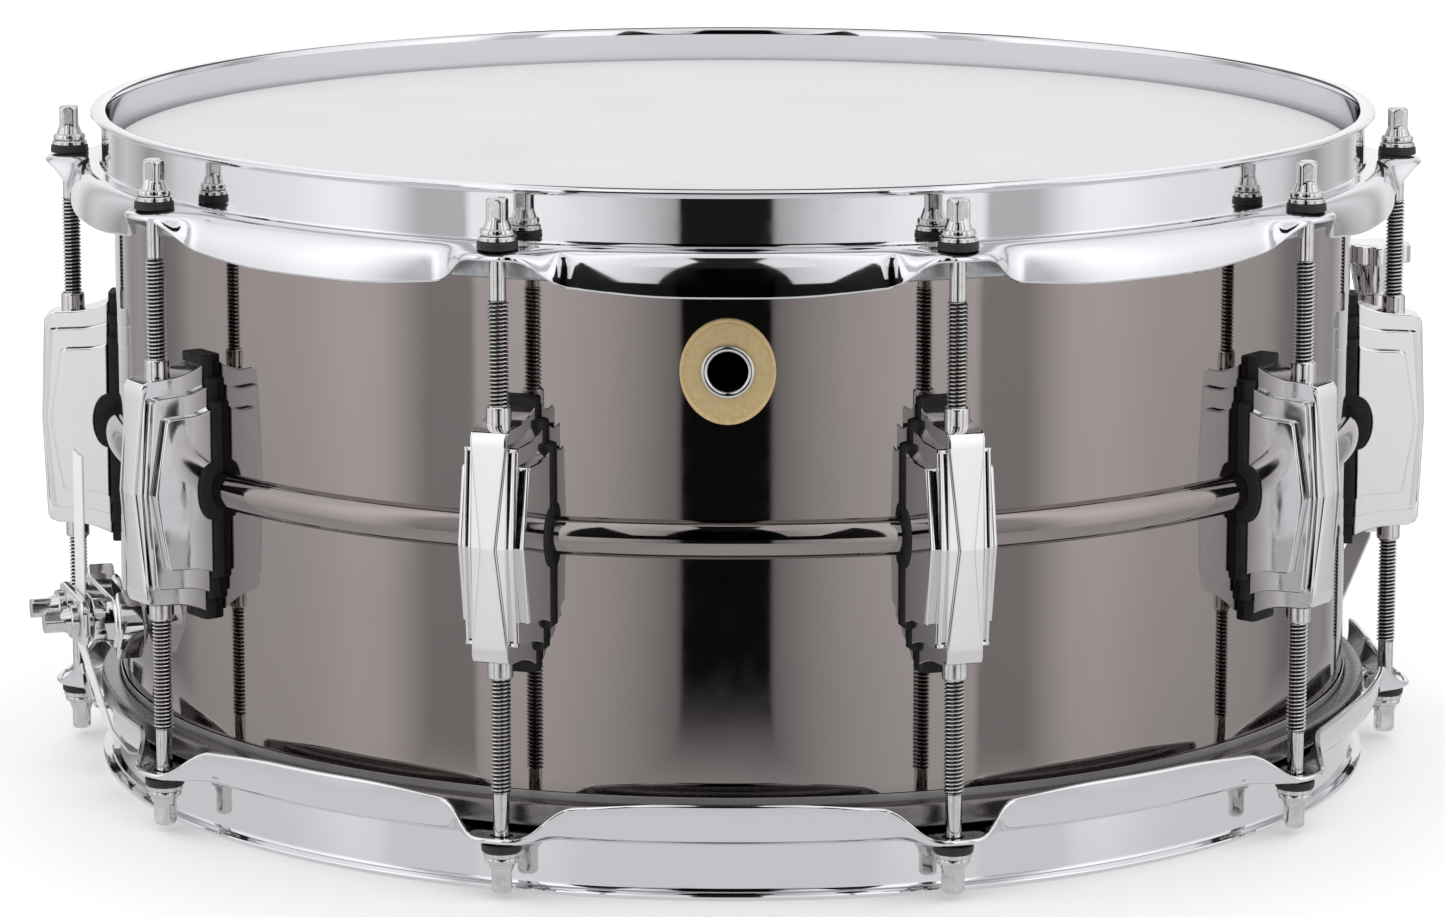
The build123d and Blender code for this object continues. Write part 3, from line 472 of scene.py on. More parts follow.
def make_heads(m):
    z = 178.1
    film = [(0, z), (60, z), (120, z), (165, z), (173.5, z), (175.6, z - 0.02), (176.8, z - 0.45)]
    film += [(177.7, z - 1.3), (178.1, z - 2.6), (178.15, 170), (178.15, 164.6)]
    outer = [(r + 0.0, h + 0.25) if r < 176 else (r + 0.22, h + 0.12) for r, h in film]
    profile = film + list(reversed(outer))
    top = Shape().add(lathe(profile, 256, closed=False))
    look = ("drum", "coated_film", m["coated"])
    build(top, "batter_head", 40, *look, 0, ("batter_film",), flat=False)
    flipped = [(r, 2 * SHELL_MID - h) for r, h in profile]
    low = Shape().add(lathe(flipped, 256, closed=False))
    look = ("drum", "clear_film", m["clear"])
    build(low, "snare_side_head", 40, *look, 0, ("snare_side_film",), flat=False)
    ring = [(178.5, 163.4, 0.9), (183.9, 163.4, 1.2), (183.9, 170.1, 1.6), (178.5, 170.1, 1.2)]
    ring = rounded(ring, 4)
    low_ring = [(r, DRUM_HEIGHT - h) for r, h in ring]
    # the snare-side flesh ring takes the darker copy of the aluminium: painted shade
    for name, section, key in (("batter", ring, "aluminium"), ("snare_side", low_ring, "aluminium_painted_shade")):
        data = Shape().add(lathe(section, 288)).mesh(name + "_flesh_hoop")
        node = (name + "_flesh_hoop",)
        finished(name + "_flesh_ring", data, "drum", "aluminium", m[key], 0, node, flat=False)


# ---- hoops ------------------------------------------------------------------------
EAR_FLAT = 0.8
EAR_DROP = 19.5
EAR_TAIL = 50.0
EAR_NOSE_R = 198.4
NOSE_DEEP = 2.1
LOBE_R = 190.0
LOBE_DEEP = 12.0
FLANGE_R = 184.0
FLANGE_Z = 172.7
SHEET = 1.75
SKIRT_STEPS = 22
SKIRT_FINE = 4
SKIRT_TURN = 0.96
HOOP_STEPS = 720
WALL_IN = 179.4
WALL_OUT = 181.2
# the wall and its rolled rim as (radius, height), from the film over the rim to the flange
RIM = (
    (WALL_IN, 170.2), (WALL_IN, 170.8), (WALL_IN, 186.0), (179.42, 186.6), (179.75, 187.45), (180.5, 187.9),
    (WALL_OUT, 188.0), (183.0, 188.0), (183.65, 187.8), (184.0, 187.4), (184.05, 187.0), (183.85, 186.7),
    (183.3, 186.5), (182.2, 186.45), (181.5, 186.2), (181.22, 185.7), (WALL_OUT, 185.4), (WALL_OUT, 185.1),
    (WALL_OUT, 173.9), (WALL_OUT, 173.6), (181.23, 173.3), (181.35, 173.0), (181.65, 172.76), (182.0, 172.7),
)
# the rounded tip of the skirt, as steps in radius and height from its outer corner
TIP = (
    (0.02, -0.12), (-0.08, -0.42), (-0.34, -0.68),
    (-SHEET / 2, -0.8), (0.36 - SHEET, -0.66), (0.1 - SHEET, -0.35),
)


def smooth(t):
    t = min(1.0, max(0.0, t))
    return t * t * t * (10 - 15 * t + 6 * t * t)


def flange_lines(arc):
    """The flange's top and under sides, wall to edge: flat on an ear, rolled down on a lobe."""
    past = abs(arc) - EAR_FLAT
    fall = smooth(past / EAR_DROP)
    share = 0.78 * fall + 0.22 * smooth(past / EAR_TAIL)
    reach = LOBE_R + (EAR_NOSE_R - LOBE_R) * (1 - fall) - FLANGE_R
    deep = (NOSE_DEEP ** 3 + (LOBE_DEEP * share) ** 3) ** (1 / 3)
    power = 2 / (3.2 - 1.2 * smooth(share * 1.3))
    top = [(FLANGE_R, FLANGE_Z)]
    under = [(FLANGE_R, FLANGE_Z - SHEET)]
    for k in range(1, SKIRT_STEPS * SKIRT_FINE + 1):
        turn = k / SKIRT_STEPS / SKIRT_FINE * pi / 2 * SKIRT_TURN
        out = sin(turn) ** power
        down = 1 - max(0.0, cos(turn)) ** power
        top.append((FLANGE_R + reach * out, FLANGE_Z - deep * down))
        low = FLANGE_Z - SHEET - (deep - SHEET) * down
        under.append((FLANGE_R + (reach - SHEET) * out, low))
    return even(top, SKIRT_STEPS), even(under, SKIRT_STEPS)


def even(line, count):
    """The same line with its points evenly spaced."""
    runs = [0.0]
    for (r0, z0), (r1, z1) in zip(line, line[1:]):
        runs.append(runs[-1] + hypot(r1 - r0, z1 - z0))
    points = []
    k = 0
    for i in range(count + 1):
        want = runs[-1] * i / count
        while k < len(line) - 2 and runs[k + 1] < want:
            k += 1
        t = (want - runs[k]) / max(1e-9, runs[k + 1] - runs[k])
        points.append(tuple(a + (b - a) * t for a, b in zip(line[k], line[k + 1])))
    return points


def hoop_section(arc):
    """The hoop's closed section at arc millimetres from the middle of the nearest ear."""
    top, under = flange_lines(arc)
    edge_r, edge_z = top[-1]
    tip = [(edge_r + r, edge_z + z) for r, z in TIP]
    return list(RIM) + top + tip + list(reversed(under))


def hoop_mesh():
    verts = []
    for i in range(HOOP_STEPS):
        angle = 360.0 * i / HOOP_STEPS
        offset = (angle - LUG_ANGLES[0] + LUG_PITCH / 2) % LUG_PITCH - LUG_PITCH / 2
        a = radians(angle)
        section = hoop_section(radians(offset) * LOBE_R)
        verts += [(r * cos(a), r * sin(a), z) for r, z in section]
    return verts, grid_faces(HOOP_STEPS, len(hoop_section(0.0)))


def make_hoops(m):
    holes = Shape()
    for angle in LUG_ANGLES:
        holes.add(prism(circle(3.1, 28, ROD_R, 0), 165, 180, 0.0, plan, 1), spun(angle))
    upper = Shape().add(hoop_mesh())
    look = ("drum", "chrome", m["chrome"])
    top = build(upper, "batter_hoop_skin", 28, *look, 0, ("batter_hoop",), flat=False)
    gates = Shape()
    for angle in (THROW_ANGLE, BUTT_ANGLE):
        opening = [(-24, 2.4, 1.0), (24, 2.4, 1.0), (24, 18, 2), (20, 30), (-20, 30), (-24, 18, 2)]
        gates.add(prism(rounded(opening), 170, 205, 0.0, face_on, 1), spun(angle))
    flip = Matrix.Translation((0, 0, DRUM_HEIGHT)) @ Matrix.Diagonal((1, 1, -1, 1))
    lower = Shape().add((upper.verts, upper.faces), flip)
    low = build(lower, "snare_side_hoop_skin", 28, *look, 0, ("snare_side_hoop",), flat=False)
    low_holes = Shape().add((holes.verts, holes.faces), flip)
    low_holes.add((gates.verts, gates.faces))
    cut(top, holes)
    cut(low, low_holes)


# ---- lugs -------------------------------------------------------------------------
LUG_BACK = 180.8
NOTCH_HALF = 7.6
NOTCH_DEEP = 4.2
# half height at the outer corner, half height at the shell, corner and middle radius
TIERS = ((31.0, 34.2, 199.4, 201.0), (26.2, 28.4, 197.8, 200.0), (20.8, 22.6, 194.0, 197.5))


def tier_outline(tier, pulled, corner):
    """Side view of a tier: bent front, rounded corners, hollow ends and a notch for the bead."""
    half, shell_half, r_corner, r_mid = TIERS[tier]
    r_corner -= pulled
    r_mid -= pulled
    knee = r_corner - 7.0
    upper = [(r_mid, 0.0), (r_corner, half, corner)]
    for k in range(6):
        t = k / 5
        r = knee + (LUG_BACK - knee) * t
        upper.append((r, half + 0.3 + (shell_half - half - 0.3) * t ** 1.9))
    for k in range(9):
        t = k / 8
        upper.append((LUG_BACK + NOTCH_DEEP * sin(t * pi / 2), NOTCH_HALF * cos(t * pi / 2)))
    lower = [(u, -v) + tuple(extra) for u, v, *extra in reversed(upper[1:-1])]
    return rounded(upper + lower, 5)


def front_radius(tier, z):
    half, _, r_corner, r_mid = TIERS[tier]
    return r_mid + (r_corner - r_mid) * min(1.0, abs(z) / half)


def rail(tier, y_low, y_high, half, rise, deep):
    """A narrow raised strip that follows a tier's bent front."""
    front = [(front_radius(tier, z) + rise, z) for z in (half, 0.0, -half)]
    back = [(front_radius(tier, z) - deep, z) for z in (-half, 0.0, half)]
    return prism(front + back, y_low, y_high, 0.22, side, 2)


def hourglass():
    """The waisted strip down the middle of the front, with rounded long edges."""
    half_stations = [0, 1.6, 6, 12, 18, 24, 26.5, 28.8, 30.2, 31.0]
    stations = [-z for z in reversed(half_stations[1:])] + half_stations
    edge = 0.75
    turn = edge * 0.29
    tip = 2.6
    verts = []
    for z in stations:
        past = max(0.0, abs(z) - 28.4)
        r = front_radius(0, z)
        r -= tip - sqrt(max(0.0, tip ** 2 - past ** 2)) if past < tip else tip
        half = 2.4 + 2.7 * min(1.0, abs(z) / 27.0)
        ring = [(r - 4.2, half), (r - edge, half), (r - turn, half - turn), (r, half - edge)]
        verts += [side(u, z, -w) for u, w in ring]
        verts += [side(u, z, w) for u, w in reversed(ring)]
    return verts, capped(len(stations), 8)


def lug_shape():
    """A casing at angle 0, centred on z = 0."""
    shape = Shape()
    shape.add(prism(tier_outline(2, 0.0, 1.6), -9.2, 9.2, 0.45, cast_side, 3))
    shape.add(prism(tier_outline(1, 1.1, 1.4), -7.25, 7.25, 0.35, cast_side, 3))
    shape.add(prism(tier_outline(0, 0.9, 2.6), -5.2, 5.2, 0.45, cast_side, 3))
    for way in (-1, 1):
        shape.add(rail(1, *sorted((way * 6.2, way * 7.05)), 26.0, 0.0, 2.4))
        shape.add(rail(2, *sorted((way * 8.2, way * 9.15)), 20.4, 0.3, 2.0))
        low, high = sorted((way * 4.6, way * 7.2))
        for z in (-25.6, 25.6):
            back = front_radius(1, z) - 2.4
            face = front_radius(1, z) - 0.1
            bar = [(back, z - 0.5), (face, z - 0.5, 0.2), (face, z + 0.5, 0.2), (back, z + 0.5)]
            shape.add(prism(rounded(bar), low, high, 0.1, side, 1))
    shape.add(hourglass())
    return shape


def bulge(z, high, half):
    """How far a round bulge of that height and half width stands out at z."""
    return high * sqrt(max(0.0, 1 - (z / half) ** 2))


def gasket_shape():
    """A gasket at angle 0: stepped outline, 3 mm thick, moulded round the bead."""
    stations = []
    for half, width, following in ((36.6, 5.8, 30.6), (30.6, 8.0, 24.4), (24.4, 10.2, 0.0)):
        stations += [(half, width - 0.5), (half - 0.4, width), (following + 0.3, width)]
    heights = [10.0, 8.4, 7.6, 7.0, 6.2, 5.2, 4.2, 3.0, 1.6, 0.0]
    stations = stations[:-1] + [(z, 10.2) for z in heights]
    stations += [(-z, w) for z, w in reversed(stations[:-1])]
    verts = []
    for z, width in stations:
        inner = SHELL_R + bulge(z, 3.8, 5.2)
        outer = SHELL_R + 3.0 + bulge(z, 4.3, 8.2)
        ring = [(inner, -width), (outer - 0.8, -width), (outer - 0.15, 0.55 - width), (outer, 1.4 - width)]
        ring += [(outer, 0.0)] + [(r, -y) for r, y in reversed(ring)]
        verts += [(r * cos(y / SHELL_R), r * sin(y / SHELL_R), z) for r, y in ring]
    return verts, capped(len(stations), 9)


def make_lugs(m):
    data = lug_shape().mesh("lug", 24)
    bm = bmesh.new()
    bm.from_mesh(data)
    for e in bm.edges:
        if all(abs(v.co.z) < 1e-7 for v in e.verts):
            e.smooth = False
    bm.to_mesh(data)
    bm.free()
    data.transform(Matrix.Translation((0, 0, SHELL_MID * MM)))
    for index, angle in enumerate(LUG_ANGLES, start=1):
        name = f"lug_casing_{index:02d}"
        finished(f"lug_{index:02d}", data, "drum", "chrome", m["cast"], angle, (name,))
    gaskets = Shape()
    nuts = Shape()
    nut = [(2.85, 18.0), (3.4, 18.0), (3.4, 24.8), (4.0, 24.8), (4.0, 27.8), (3.4, 27.8)]
    nut += [(3.4, 35.4), (3.3, 35.8), (3.0, 36.1), (2.9, 36.1), (2.85, 35.9)]
    for angle in LUG_ANGLES:
        spin = spun(angle) @ Matrix.Translation((0, 0, SHELL_MID))
        gaskets.add(gasket_shape(), spin)
        at_rod = spin @ Matrix.Translation((ROD_R, 0, 0))
        nuts.add(lathe(nut, 40), at_rod)
        nuts.add(lathe([(r, -z) for r, z in nut], 40), at_rod)
    build(gaskets, "gaskets", 50, "drum", "black_rubber", m["rubber"], 0, ("lug_gaskets",))
    build(nuts, "nuts", 28, "drum", "chrome", m["rod"], 0, ("swivel_nuts",))


# ---- tension rods -----------------------------------------------------------------
PITCH = 1.058
ROOT_R = 2.05
CREST_R = 2.74
HEAD_LOW = 178.0
HEAD_HIGH = 186.2
HEAD_R = 3.08
HEAD_FLAT = 2.64
HEAD_ROUND = 1.5
# how far each key head has been turned, in degrees: ten above, then ten below
HEAD_TURNS = (12, 40, 3, 25, 8, 33, 20, 2, 30, 5, 22, 41, 10, 28, 0, 37, 15, 6, 26, 18)


def rod_head():
    """A round bar with a domed top, milled with four flats that run out on its conical foot."""
    steps = 64
    foot = [HEAD_LOW + 0.16 * k for k in range(-1, 21)]
    dome = [HEAD_HIGH - HEAD_ROUND * cos(k * pi / 24) for k in range(13)]
    levels = foot + [HEAD_LOW + 4.4, HEAD_LOW + 5.8] + dome
    verts = []
    for z in levels:
        cone = 3.72 - 0.38 * (z - HEAD_LOW)
        over = max(0.0, z - HEAD_HIGH + HEAD_ROUND)
        bar = HEAD_R - HEAD_ROUND + sqrt(max(0.0, HEAD_ROUND ** 2 - over ** 2))
        for i in range(steps):
            a = 2 * pi * i / steps
            flat = HEAD_FLAT / max(abs(cos(a)), abs(sin(a)))
            r = min(bar, flat)
            if z < HEAD_LOW + 3.4:
                r = max(r, min(cone, HEAD_R + 0.7))
            verts.append((r * cos(a), r * sin(a), z))
    return verts, capped(len(levels), steps)


def rod_thread(low, high, steps=16, per_turn=8):
    """A right-hand thread as a fine grid, closed at both ends."""
    rows = int(ceil((high - low) / PITCH * per_turn))
    verts = []
    for j in range(rows + 1):
        z = low + (high - low) * j / rows
        fade = min(1.0, (z - low) / 1.2, (high - z) / 0.8)
        for i in range(steps):
            a = 2 * pi * i / steps
            phase = (z / PITCH - i / steps) % 1.0
            ridge = max(0.0, 1 - abs(phase - 0.5) / 0.44)
            r = ROOT_R + (CREST_R - ROOT_R) * min(1.0, ridge * 1.25) * max(0.0, fade)
            verts.append((r * cos(a), r * sin(a), z))
    return verts, capped(rows + 1, steps)


def make_rods(m):
    collar = [(0, 176.2), (4.25, 176.2), (4.5, 176.35), (4.62, 176.7), (4.62, 177.3), (4.45, 177.75)]
    collar += [(4.05, 178.0), (3.75, 178.08), (0, 178.1)]
    shape = Shape()
    shape.add(lathe(collar, 48, closed=False))
    shape.add(rod_head())
    shape.add(lathe([(0, 159.0), (2.2, 159.0), (2.2, 176.5), (0, 176.5)], 32, closed=False))
    shape.add(rod_thread(116.0, 159.6))
    data = shape.mesh("rod", 34)
    data.materials.append(m["rod"])
    data.materials.append(m["thread"])
    for polygon in data.polygons:
        polygon.material_index = 1 if polygon.center.z < 159.5 * MM else 0
    flip = Matrix.Translation((0, 0, DRUM_HEIGHT * MM)) @ Matrix.Rotation(pi, 4, "X")
    for index, angle in enumerate(LUG_ANGLES):
        for kind in ("top", "bottom"):
            name = f"{kind}_rod_{index + 1:02d}"
            turn = HEAD_TURNS[index + (LUG_COUNT if kind == "bottom" else 0)]
            piece = bpy.data.objects.new(f"{name}_threaded", data)
            bpy.context.collection.objects.link(piece)
            place = spun(angle) @ Matrix.Translation((ROD_R * MM, 0, 0)) @ spun(turn)
            piece.matrix_world = place if kind == "top" else place @ flip
            weights = piece.modifiers.new("weights", "WEIGHTED_NORMAL")
            weights.keep_sharp = True
            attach(piece, name)
            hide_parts(name)
    steel = [(2.6, 174.8), (4.8, 174.8), (5.02, 175.02), (5.02, 175.85), (4.8, 176.15), (2.6, 176.15)]
    black = [(2.6, 172.7), (5.3, 172.7), (5.45, 172.9), (5.45, 173.6), (5.36, 173.7), (5.36, 174.5)]
    black += [(5.15, 174.8), (2.6, 174.8)]
    looks = (("steel", steel, "chrome", "rod"), ("nylon", black, "black_nylon", "nylon"))
    for kind, profile, slot_name, key in looks:
        rings = Shape()
        for angle in LUG_ANGLES:
            at_rod = spun(angle) @ Matrix.Translation((ROD_R, 0, 0))
            rings.add(lathe(profile, 48), at_rod)
            rings.add(lathe([(r, DRUM_HEIGHT - z) for r, z in profile], 48), at_rod)
        build(rings, f"{kind}_washers", 28, "drum", slot_name, m[key], 0, (f"rod_{kind}_washers",))


# ---- badge and vent ---------------------------------------------------------------
def make_badge(m):
    """A plain oval plate, rolled to the shell, with a raised rim and an inner line, and its vent."""
    steps = 96
    rings = [(1.0, 0.0), (1.0, 0.55), (0.985, 0.72), (0.955, 0.8), (0.915, 0.8), (0.885, 0.66), (0.865, 0.5)]
    rings += [(0.84, 0.5), (0.83, 0.64), (0.80, 0.66), (0.79, 0.5), (0.45, 0.5), (0.0, 0.5), (0.0, 0.0)]
    verts = []
    for share, rise in rings:
        a = 6.0 + (12.5 - 6.0) * share
        b = 6.0 + (14.0 - 6.0) * share
        for i in range(steps):
            t = 2 * pi * i / steps
            y, z = a * cos(t), b * sin(t)
            r = SHELL_R + 0.01 + rise
            verts.append((r * cos(y / SHELL_R), r * sin(y / SHELL_R), BADGE_Z + z))
    plate = Shape().add((verts, grid_faces(len(rings), steps)))
    build(plate, "badge_plate", 22, "drum", "badge_brass", m["brass"], BADGE_ANGLE, ("badge",))
    outer = SHELL_R + 0.85
    inner = SHELL_R - SHELL_T - 0.35
    profile = [(5.15, inner - 0.8), (7.05, inner - 0.8), (7.05, inner), (5.85, inner), (5.85, outer)]
    profile += [(7.05, outer), (6.98, outer + 0.4), (6.7, outer + 0.72), (6.25, outer + 0.86)]
    profile += [(5.8, outer + 0.8), (5.4, outer + 0.55), (5.15, outer + 0.1)]
    verts, faces = lathe(profile, 72)
    ring = Shape().add(([(z, y, BADGE_Z + x) for x, y, z in verts], faces))
    look = ("drum", "bright_steel", m["bright"])
    build(ring, "vent_ring", 40, *look, BADGE_ANGLE, ("vent_grommet",), flat=False)


# ---- straps and snares ------------------------------------------------------------
def ribbon(route, thick, width):
    """A flat strip along a route in the plane of radius and height."""
    verts = []
    edge = thick * 0.3
    half = width / 2
    for i, point in enumerate(route):
        before = Vector(route[max(0, i - 1)])
        after = Vector(route[min(len(route) - 1, i + 1)])
        along = (after - before).normalized()
        normal = Vector((-along.y, along.x)) * (thick / 2)
        a, b = Vector(point) + normal, Vector(point) - normal
        a2, b2 = a.lerp(b, 0.3), a.lerp(b, 0.7)
        ring = [(a, edge - half), (a, half - edge), (a2, half), (b2, half)]
        ring += [(b, half - edge), (b, edge - half), (b2, -half), (a2, -half)]
        verts += [side(p.x, p.y, w) for p, w in ring]
    return verts, capped(len(route), 8)


def strap(outer_r, top_z, clamp_z):
    """A strap from its free end, past the clamp and in through the gate, under the head."""
    turn = 4.0
    corners = [(outer_r, top_z), (outer_r, clamp_z - 9, turn), (186.0, 16.5, turn)]
    corners += [(181.0, 8.85, turn), (151.0, 8.85)]
    return Shape().add(ribbon(rounded(corners, 6), *STRAP_SIZE))


def make_straps(m):
    look = ("white_strap", m["strap"])
    butt = strap(193.0, 95.5, BUTT_Z)
    build(butt, "butt_side_strap", 35, "drum", *look, BUTT_ANGLE, ("butt_strap",))
    throw = strap(200.42, 64.7, CLAMP_Z)
    build(throw, "throw_side_strap", 35, "slide", *look, THROW_ANGLE, ("throw_off_strap",))


WIRES = 20
WIRE_PITCH = 2.05
WIRE_TURNS = 200
WIRE_LENGTH = 326.0


def make_snares(m):
    wire = 0.2
    radius = 0.75
    verts = []
    count = WIRE_TURNS * 9
    for i in range(count + 1):
        t = i / count
        a = 2 * pi * WIRE_TURNS * t
        x = -WIRE_LENGTH / 2 + WIRE_LENGTH * t
        for k in range(4):
            b = pi / 2 * k + pi / 4
            r = radius + wire * cos(b)
            verts.append((x + wire * sin(b), r * cos(a), r * sin(a) + 11.35))
    first = -WIRE_PITCH * (WIRES - 1) / 2
    coil = (verts, grid_faces(count + 1, 4, False, True))
    data = Shape().add(coil, Matrix.Translation((0, first, 0))).mesh("coil", 60)
    look = ("snares", "steel", m["steel"])
    coils = finished("snare_wires", data, *look, THROW_ANGLE, ("snare_coils",), flat=False)
    array = coils.modifiers.new("row", "ARRAY")
    array.count = WIRES
    array.use_relative_offset = False
    array.use_constant_offset = True
    array.constant_offset_displace = (0, WIRE_PITCH * MM, 0)
    plates = Shape()
    for way in (-1, 1):
        plates.add(prism(box_outline(14.0, 44.0, 2.0, way * 156.0, 0.0), 9.5, 10.3, 0.2))
        for k in range(WIRES):
            solder = box_outline(9.0, 1.5, 0.5, way * 155.0, first + WIRE_PITCH * k)
            plates.add(prism(solder, 10.2, 10.9, 0.3, plan, 1))
    build(plates, "snare_plates", 30, *look, THROW_ANGLE, ("snare_end_plates",))


# ---- key screws, butt plate and throw-off -------------------------------------------
def key_screw(across, z, collar_r, tip_r, turn):
    """A clamp screw that lies along the radius: plain stem, collar and square head."""
    reach = collar_r + 2.2
    c, s = cos(turn), sin(turn)
    verts, faces = rod_head()
    verts = [(min(h - HEAD_LOW, 7.2), x * c - y * s, x * s + y * c) for x, y, h in verts]
    shape = Shape().add(([(reach + u, across + v, z + w) for u, v, w in verts], faces))
    disc = lathe([(0, 0), (4.7, 0), (4.9, 0.25), (4.9, 1.9), (4.6, 2.2), (0, 2.2)], 48, closed=False)
    shape.add(outward(disc, across, z, collar_r))
    end = collar_r - tip_r + 0.1
    stem = lathe([(0, 0), (1.6, 0), (1.98, 0.4), (1.98, end), (0, end)], 32, closed=False)
    shape.add(outward(stem, across, z, tip_r))
    return shape.verts, shape.faces


def slot_outline(width, height, z):
    """A long rounded outline, centred at height z."""
    r = height / 2
    a = width / 2 - r
    turns = [pi * (k / 12 - 0.5) for k in range(13)]
    right = [(a + r * cos(t), z + r * sin(t)) for t in turns]
    return right + [(-u, 2 * z - v) for u, v in right]


def make_butt(m):
    z = BUTT_Z
    body = Shape()
    foot = [(0, 178.6), (6.3, 178.6), (6.8, 179.2), (6.8, 180.0), (5.9, 181.2), (5.6, 183.0)]
    foot += [(6.2, 184.6), (6.2, 185.6), (0, 185.6)]
    for way in (-1, 1):
        y = way * 17.0
        body.add(outward(lathe(foot, 48, closed=False), y, z))
        shares = [k / 12 for k in range(13)]
        wing = [(y + way * (3 + 5.5 * sin(pi * t)), z - 9.5 + 19 * t) for t in shares]
        shares = [1 - k / 12 for k in range(1, 12)]
        wing += [(y + way * (3 - 4.5 * sin(pi * t)), z - 9.5 + 19 * t) for t in shares]
        body.add(prism(wing, 179.4, 187.2, 1.0, face_on, 3))
    body.add(prism(slot_outline(48, 14.5, z), 181.6, 188.0, 1.1, face_on, 3))
    body.add(prism(slot_outline(32, 13, z), 187.4, 192.4, 0.5, face_on, 2))
    look = ("drum", "chrome", m["cast"])
    build(body, "butt_body", 30, *look, BUTT_ANGLE, ("butt_casting",))
    bar = Shape().add(prism(box_outline(33, 13, 4.0, 0, z), 193.55, 196.1, 0.7, face_on, 3))
    build(bar, "butt_clamp_bar", 30, *look, BUTT_ANGLE, ("butt_clamp_plate",))
    screws = Shape().add(key_screw(-9.6, z, 196.12, 185.0, 0.2)).add(key_screw(9.6, z, 196.12, 185.0, 0.7))
    build(screws, "butt_screws", 34, "drum", "chrome", m["rod"], BUTT_ANGLE, ("butt_key_screws",))


def scalloped(outer, count, cut_at, cut_r, start):
    """A disc outline with round bites taken out of its edge."""
    points = []
    for i in range(count * 14):
        a = 2 * pi * i / (count * 14)
        delta = (a - start + pi / count) % (2 * pi / count) - pi / count
        r = outer
        if abs(cut_at * sin(delta)) < cut_r:
            r = min(outer, cut_at * cos(delta) - sqrt(cut_r ** 2 - (cut_at * sin(delta)) ** 2))
        points.append((r * cos(a), r * sin(a)))
    return points


def rounded_plate(low, high, r_low, r_high):
    """A corner list 25 mm wide between two heights."""
    half = 12.5
    return rounded([(-half, low, r_low), (half, low, r_low), (half, high, r_high), (-half, high, r_high)], 6)


def make_throw_off(m):
    look = ("chrome", m["cast"])
    base = Shape().add(prism(rounded_plate(66.0, 117.8, 3.0, 4.0), 181.95, 188.0, 0.8, face_on, 3))
    for low, high in ((66.5, 88.0), (103.0, 117.5)):
        pad = box_outline(22, high - low, 2.5, 0, (low + high) / 2)
        base.add(prism(pad, 178.5, 182.5, 0.5, face_on, 2))
    cheek = [(187.0, 66.0), (201.0, 66.0, 1.5), (204.2, 69.5, 2.0), (204.2, 84.0, 3.0), (197.0, 92.0, 3.0)]
    cheek = rounded(cheek + [(187.0, 92.0)])
    for way in (-1, 1):
        base.add(prism(cheek, *sorted((way * 9.0, way * 12.5)), 0.6, side, 3))
    base.add(prism(rounded_plate(66.0, 86.0, 3.0, 3.0), 200.35, 204.2, 0.6, face_on, 3))
    shelf = [(187.0, 113.5), (208.5, 113.5, 1.2), (209.5, 115.5, 1.2), (208.5, 117.8, 1.2), (187.0, 117.8)]
    base.add(prism(rounded(shelf), -8.5, 8.5, 0.8, side, 3))
    build(base, "throw_off_frame", 30, "drum", *look, THROW_ANGLE, ("throw_off_base",))
    slide = Shape()
    # width, height, corner, middle, back, front, bevel and its steps of each block
    for width, height, corner, z, back, front, bevel, segments in (
        (17.3, 46, 1.2, 85, 188.35, 200.0, 0.5, 2), (31, 13, 4.0, CLAMP_Z, 195.0, 200.0, 0.7, 3),
        (15, 8, 1.0, 62.5, 195.0, 199.98, 0.4, 2), (11, 9, 1.0, 100.5, 199.0, 204.4, 0.5, 2),
    ):
        slide.add(prism(box_outline(width, height, corner, 0, z), back, front, bevel, face_on, segments))
    build(slide, "slide_carriage", 30, "slide", *look, THROW_ANGLE, ("slide_block",))
    bar = Shape().add(prism(box_outline(31, 12, 4.0, 0, CLAMP_Z), 200.84, 203.24, 0.7, face_on, 3))
    build(bar, "slide_clamp_bar", 30, "slide", *look, THROW_ANGLE, ("slide_clamp_plate",))
    screws = Shape()
    for y, turn in ((-8.5, 0.5), (8.5, 0.1)):
        screws.add(key_screw(y, CLAMP_Z, 203.26, 194.0, turn))
    build(screws, "slide_screws", 34, "slide", "chrome", m["rod"], THROW_ANGLE, ("slide_key_screws",))
    make_lever(m)
    make_knob(m)


def make_lever(m):
    turns = [pi + pi * k / 24 for k in range(25)]
    outline = [(7.5 * cos(a), PIN_Z + 7.5 * sin(a)) for a in turns]
    arm_side = [(5.2, 84.0), (4.3, 92.0), (4.0, 99.0)]
    turns = [-0.5 + (pi + 1.0) * k / 16 for k in range(17)]
    outline += arm_side + [(5.2 * cos(a), 104.0 + 5.2 * sin(a)) for a in turns]
    outline += [(-u, v) for u, v in reversed(arm_side)]
    arm = Shape().add(prism(outline, 205.15, 208.75, 0.9, face_on, 3))
    build(arm, "lever_arm", 30, "lever", "chrome", m["cast"], THROW_ANGLE, ("throw_off_lever",))
    head = [(0, 209.1), (3.3, 209.1), (3.6, 209.4), (3.5, 209.7), (2.6, 210.05), (0, 210.1)]
    head = lathe(head, 40, closed=False)
    shank = lathe([(0, 200.5), (1.95, 200.5), (1.95, 209.2), (0, 209.2)], 32, closed=False)
    pin = Shape().add(outward(head, 0, PIN_Z)).add(outward(shank, 0, PIN_Z))
    build(pin, "pivot_pin", 30, "drum", "steel", m["steel"], THROW_ANGLE, ("lever_pin",))


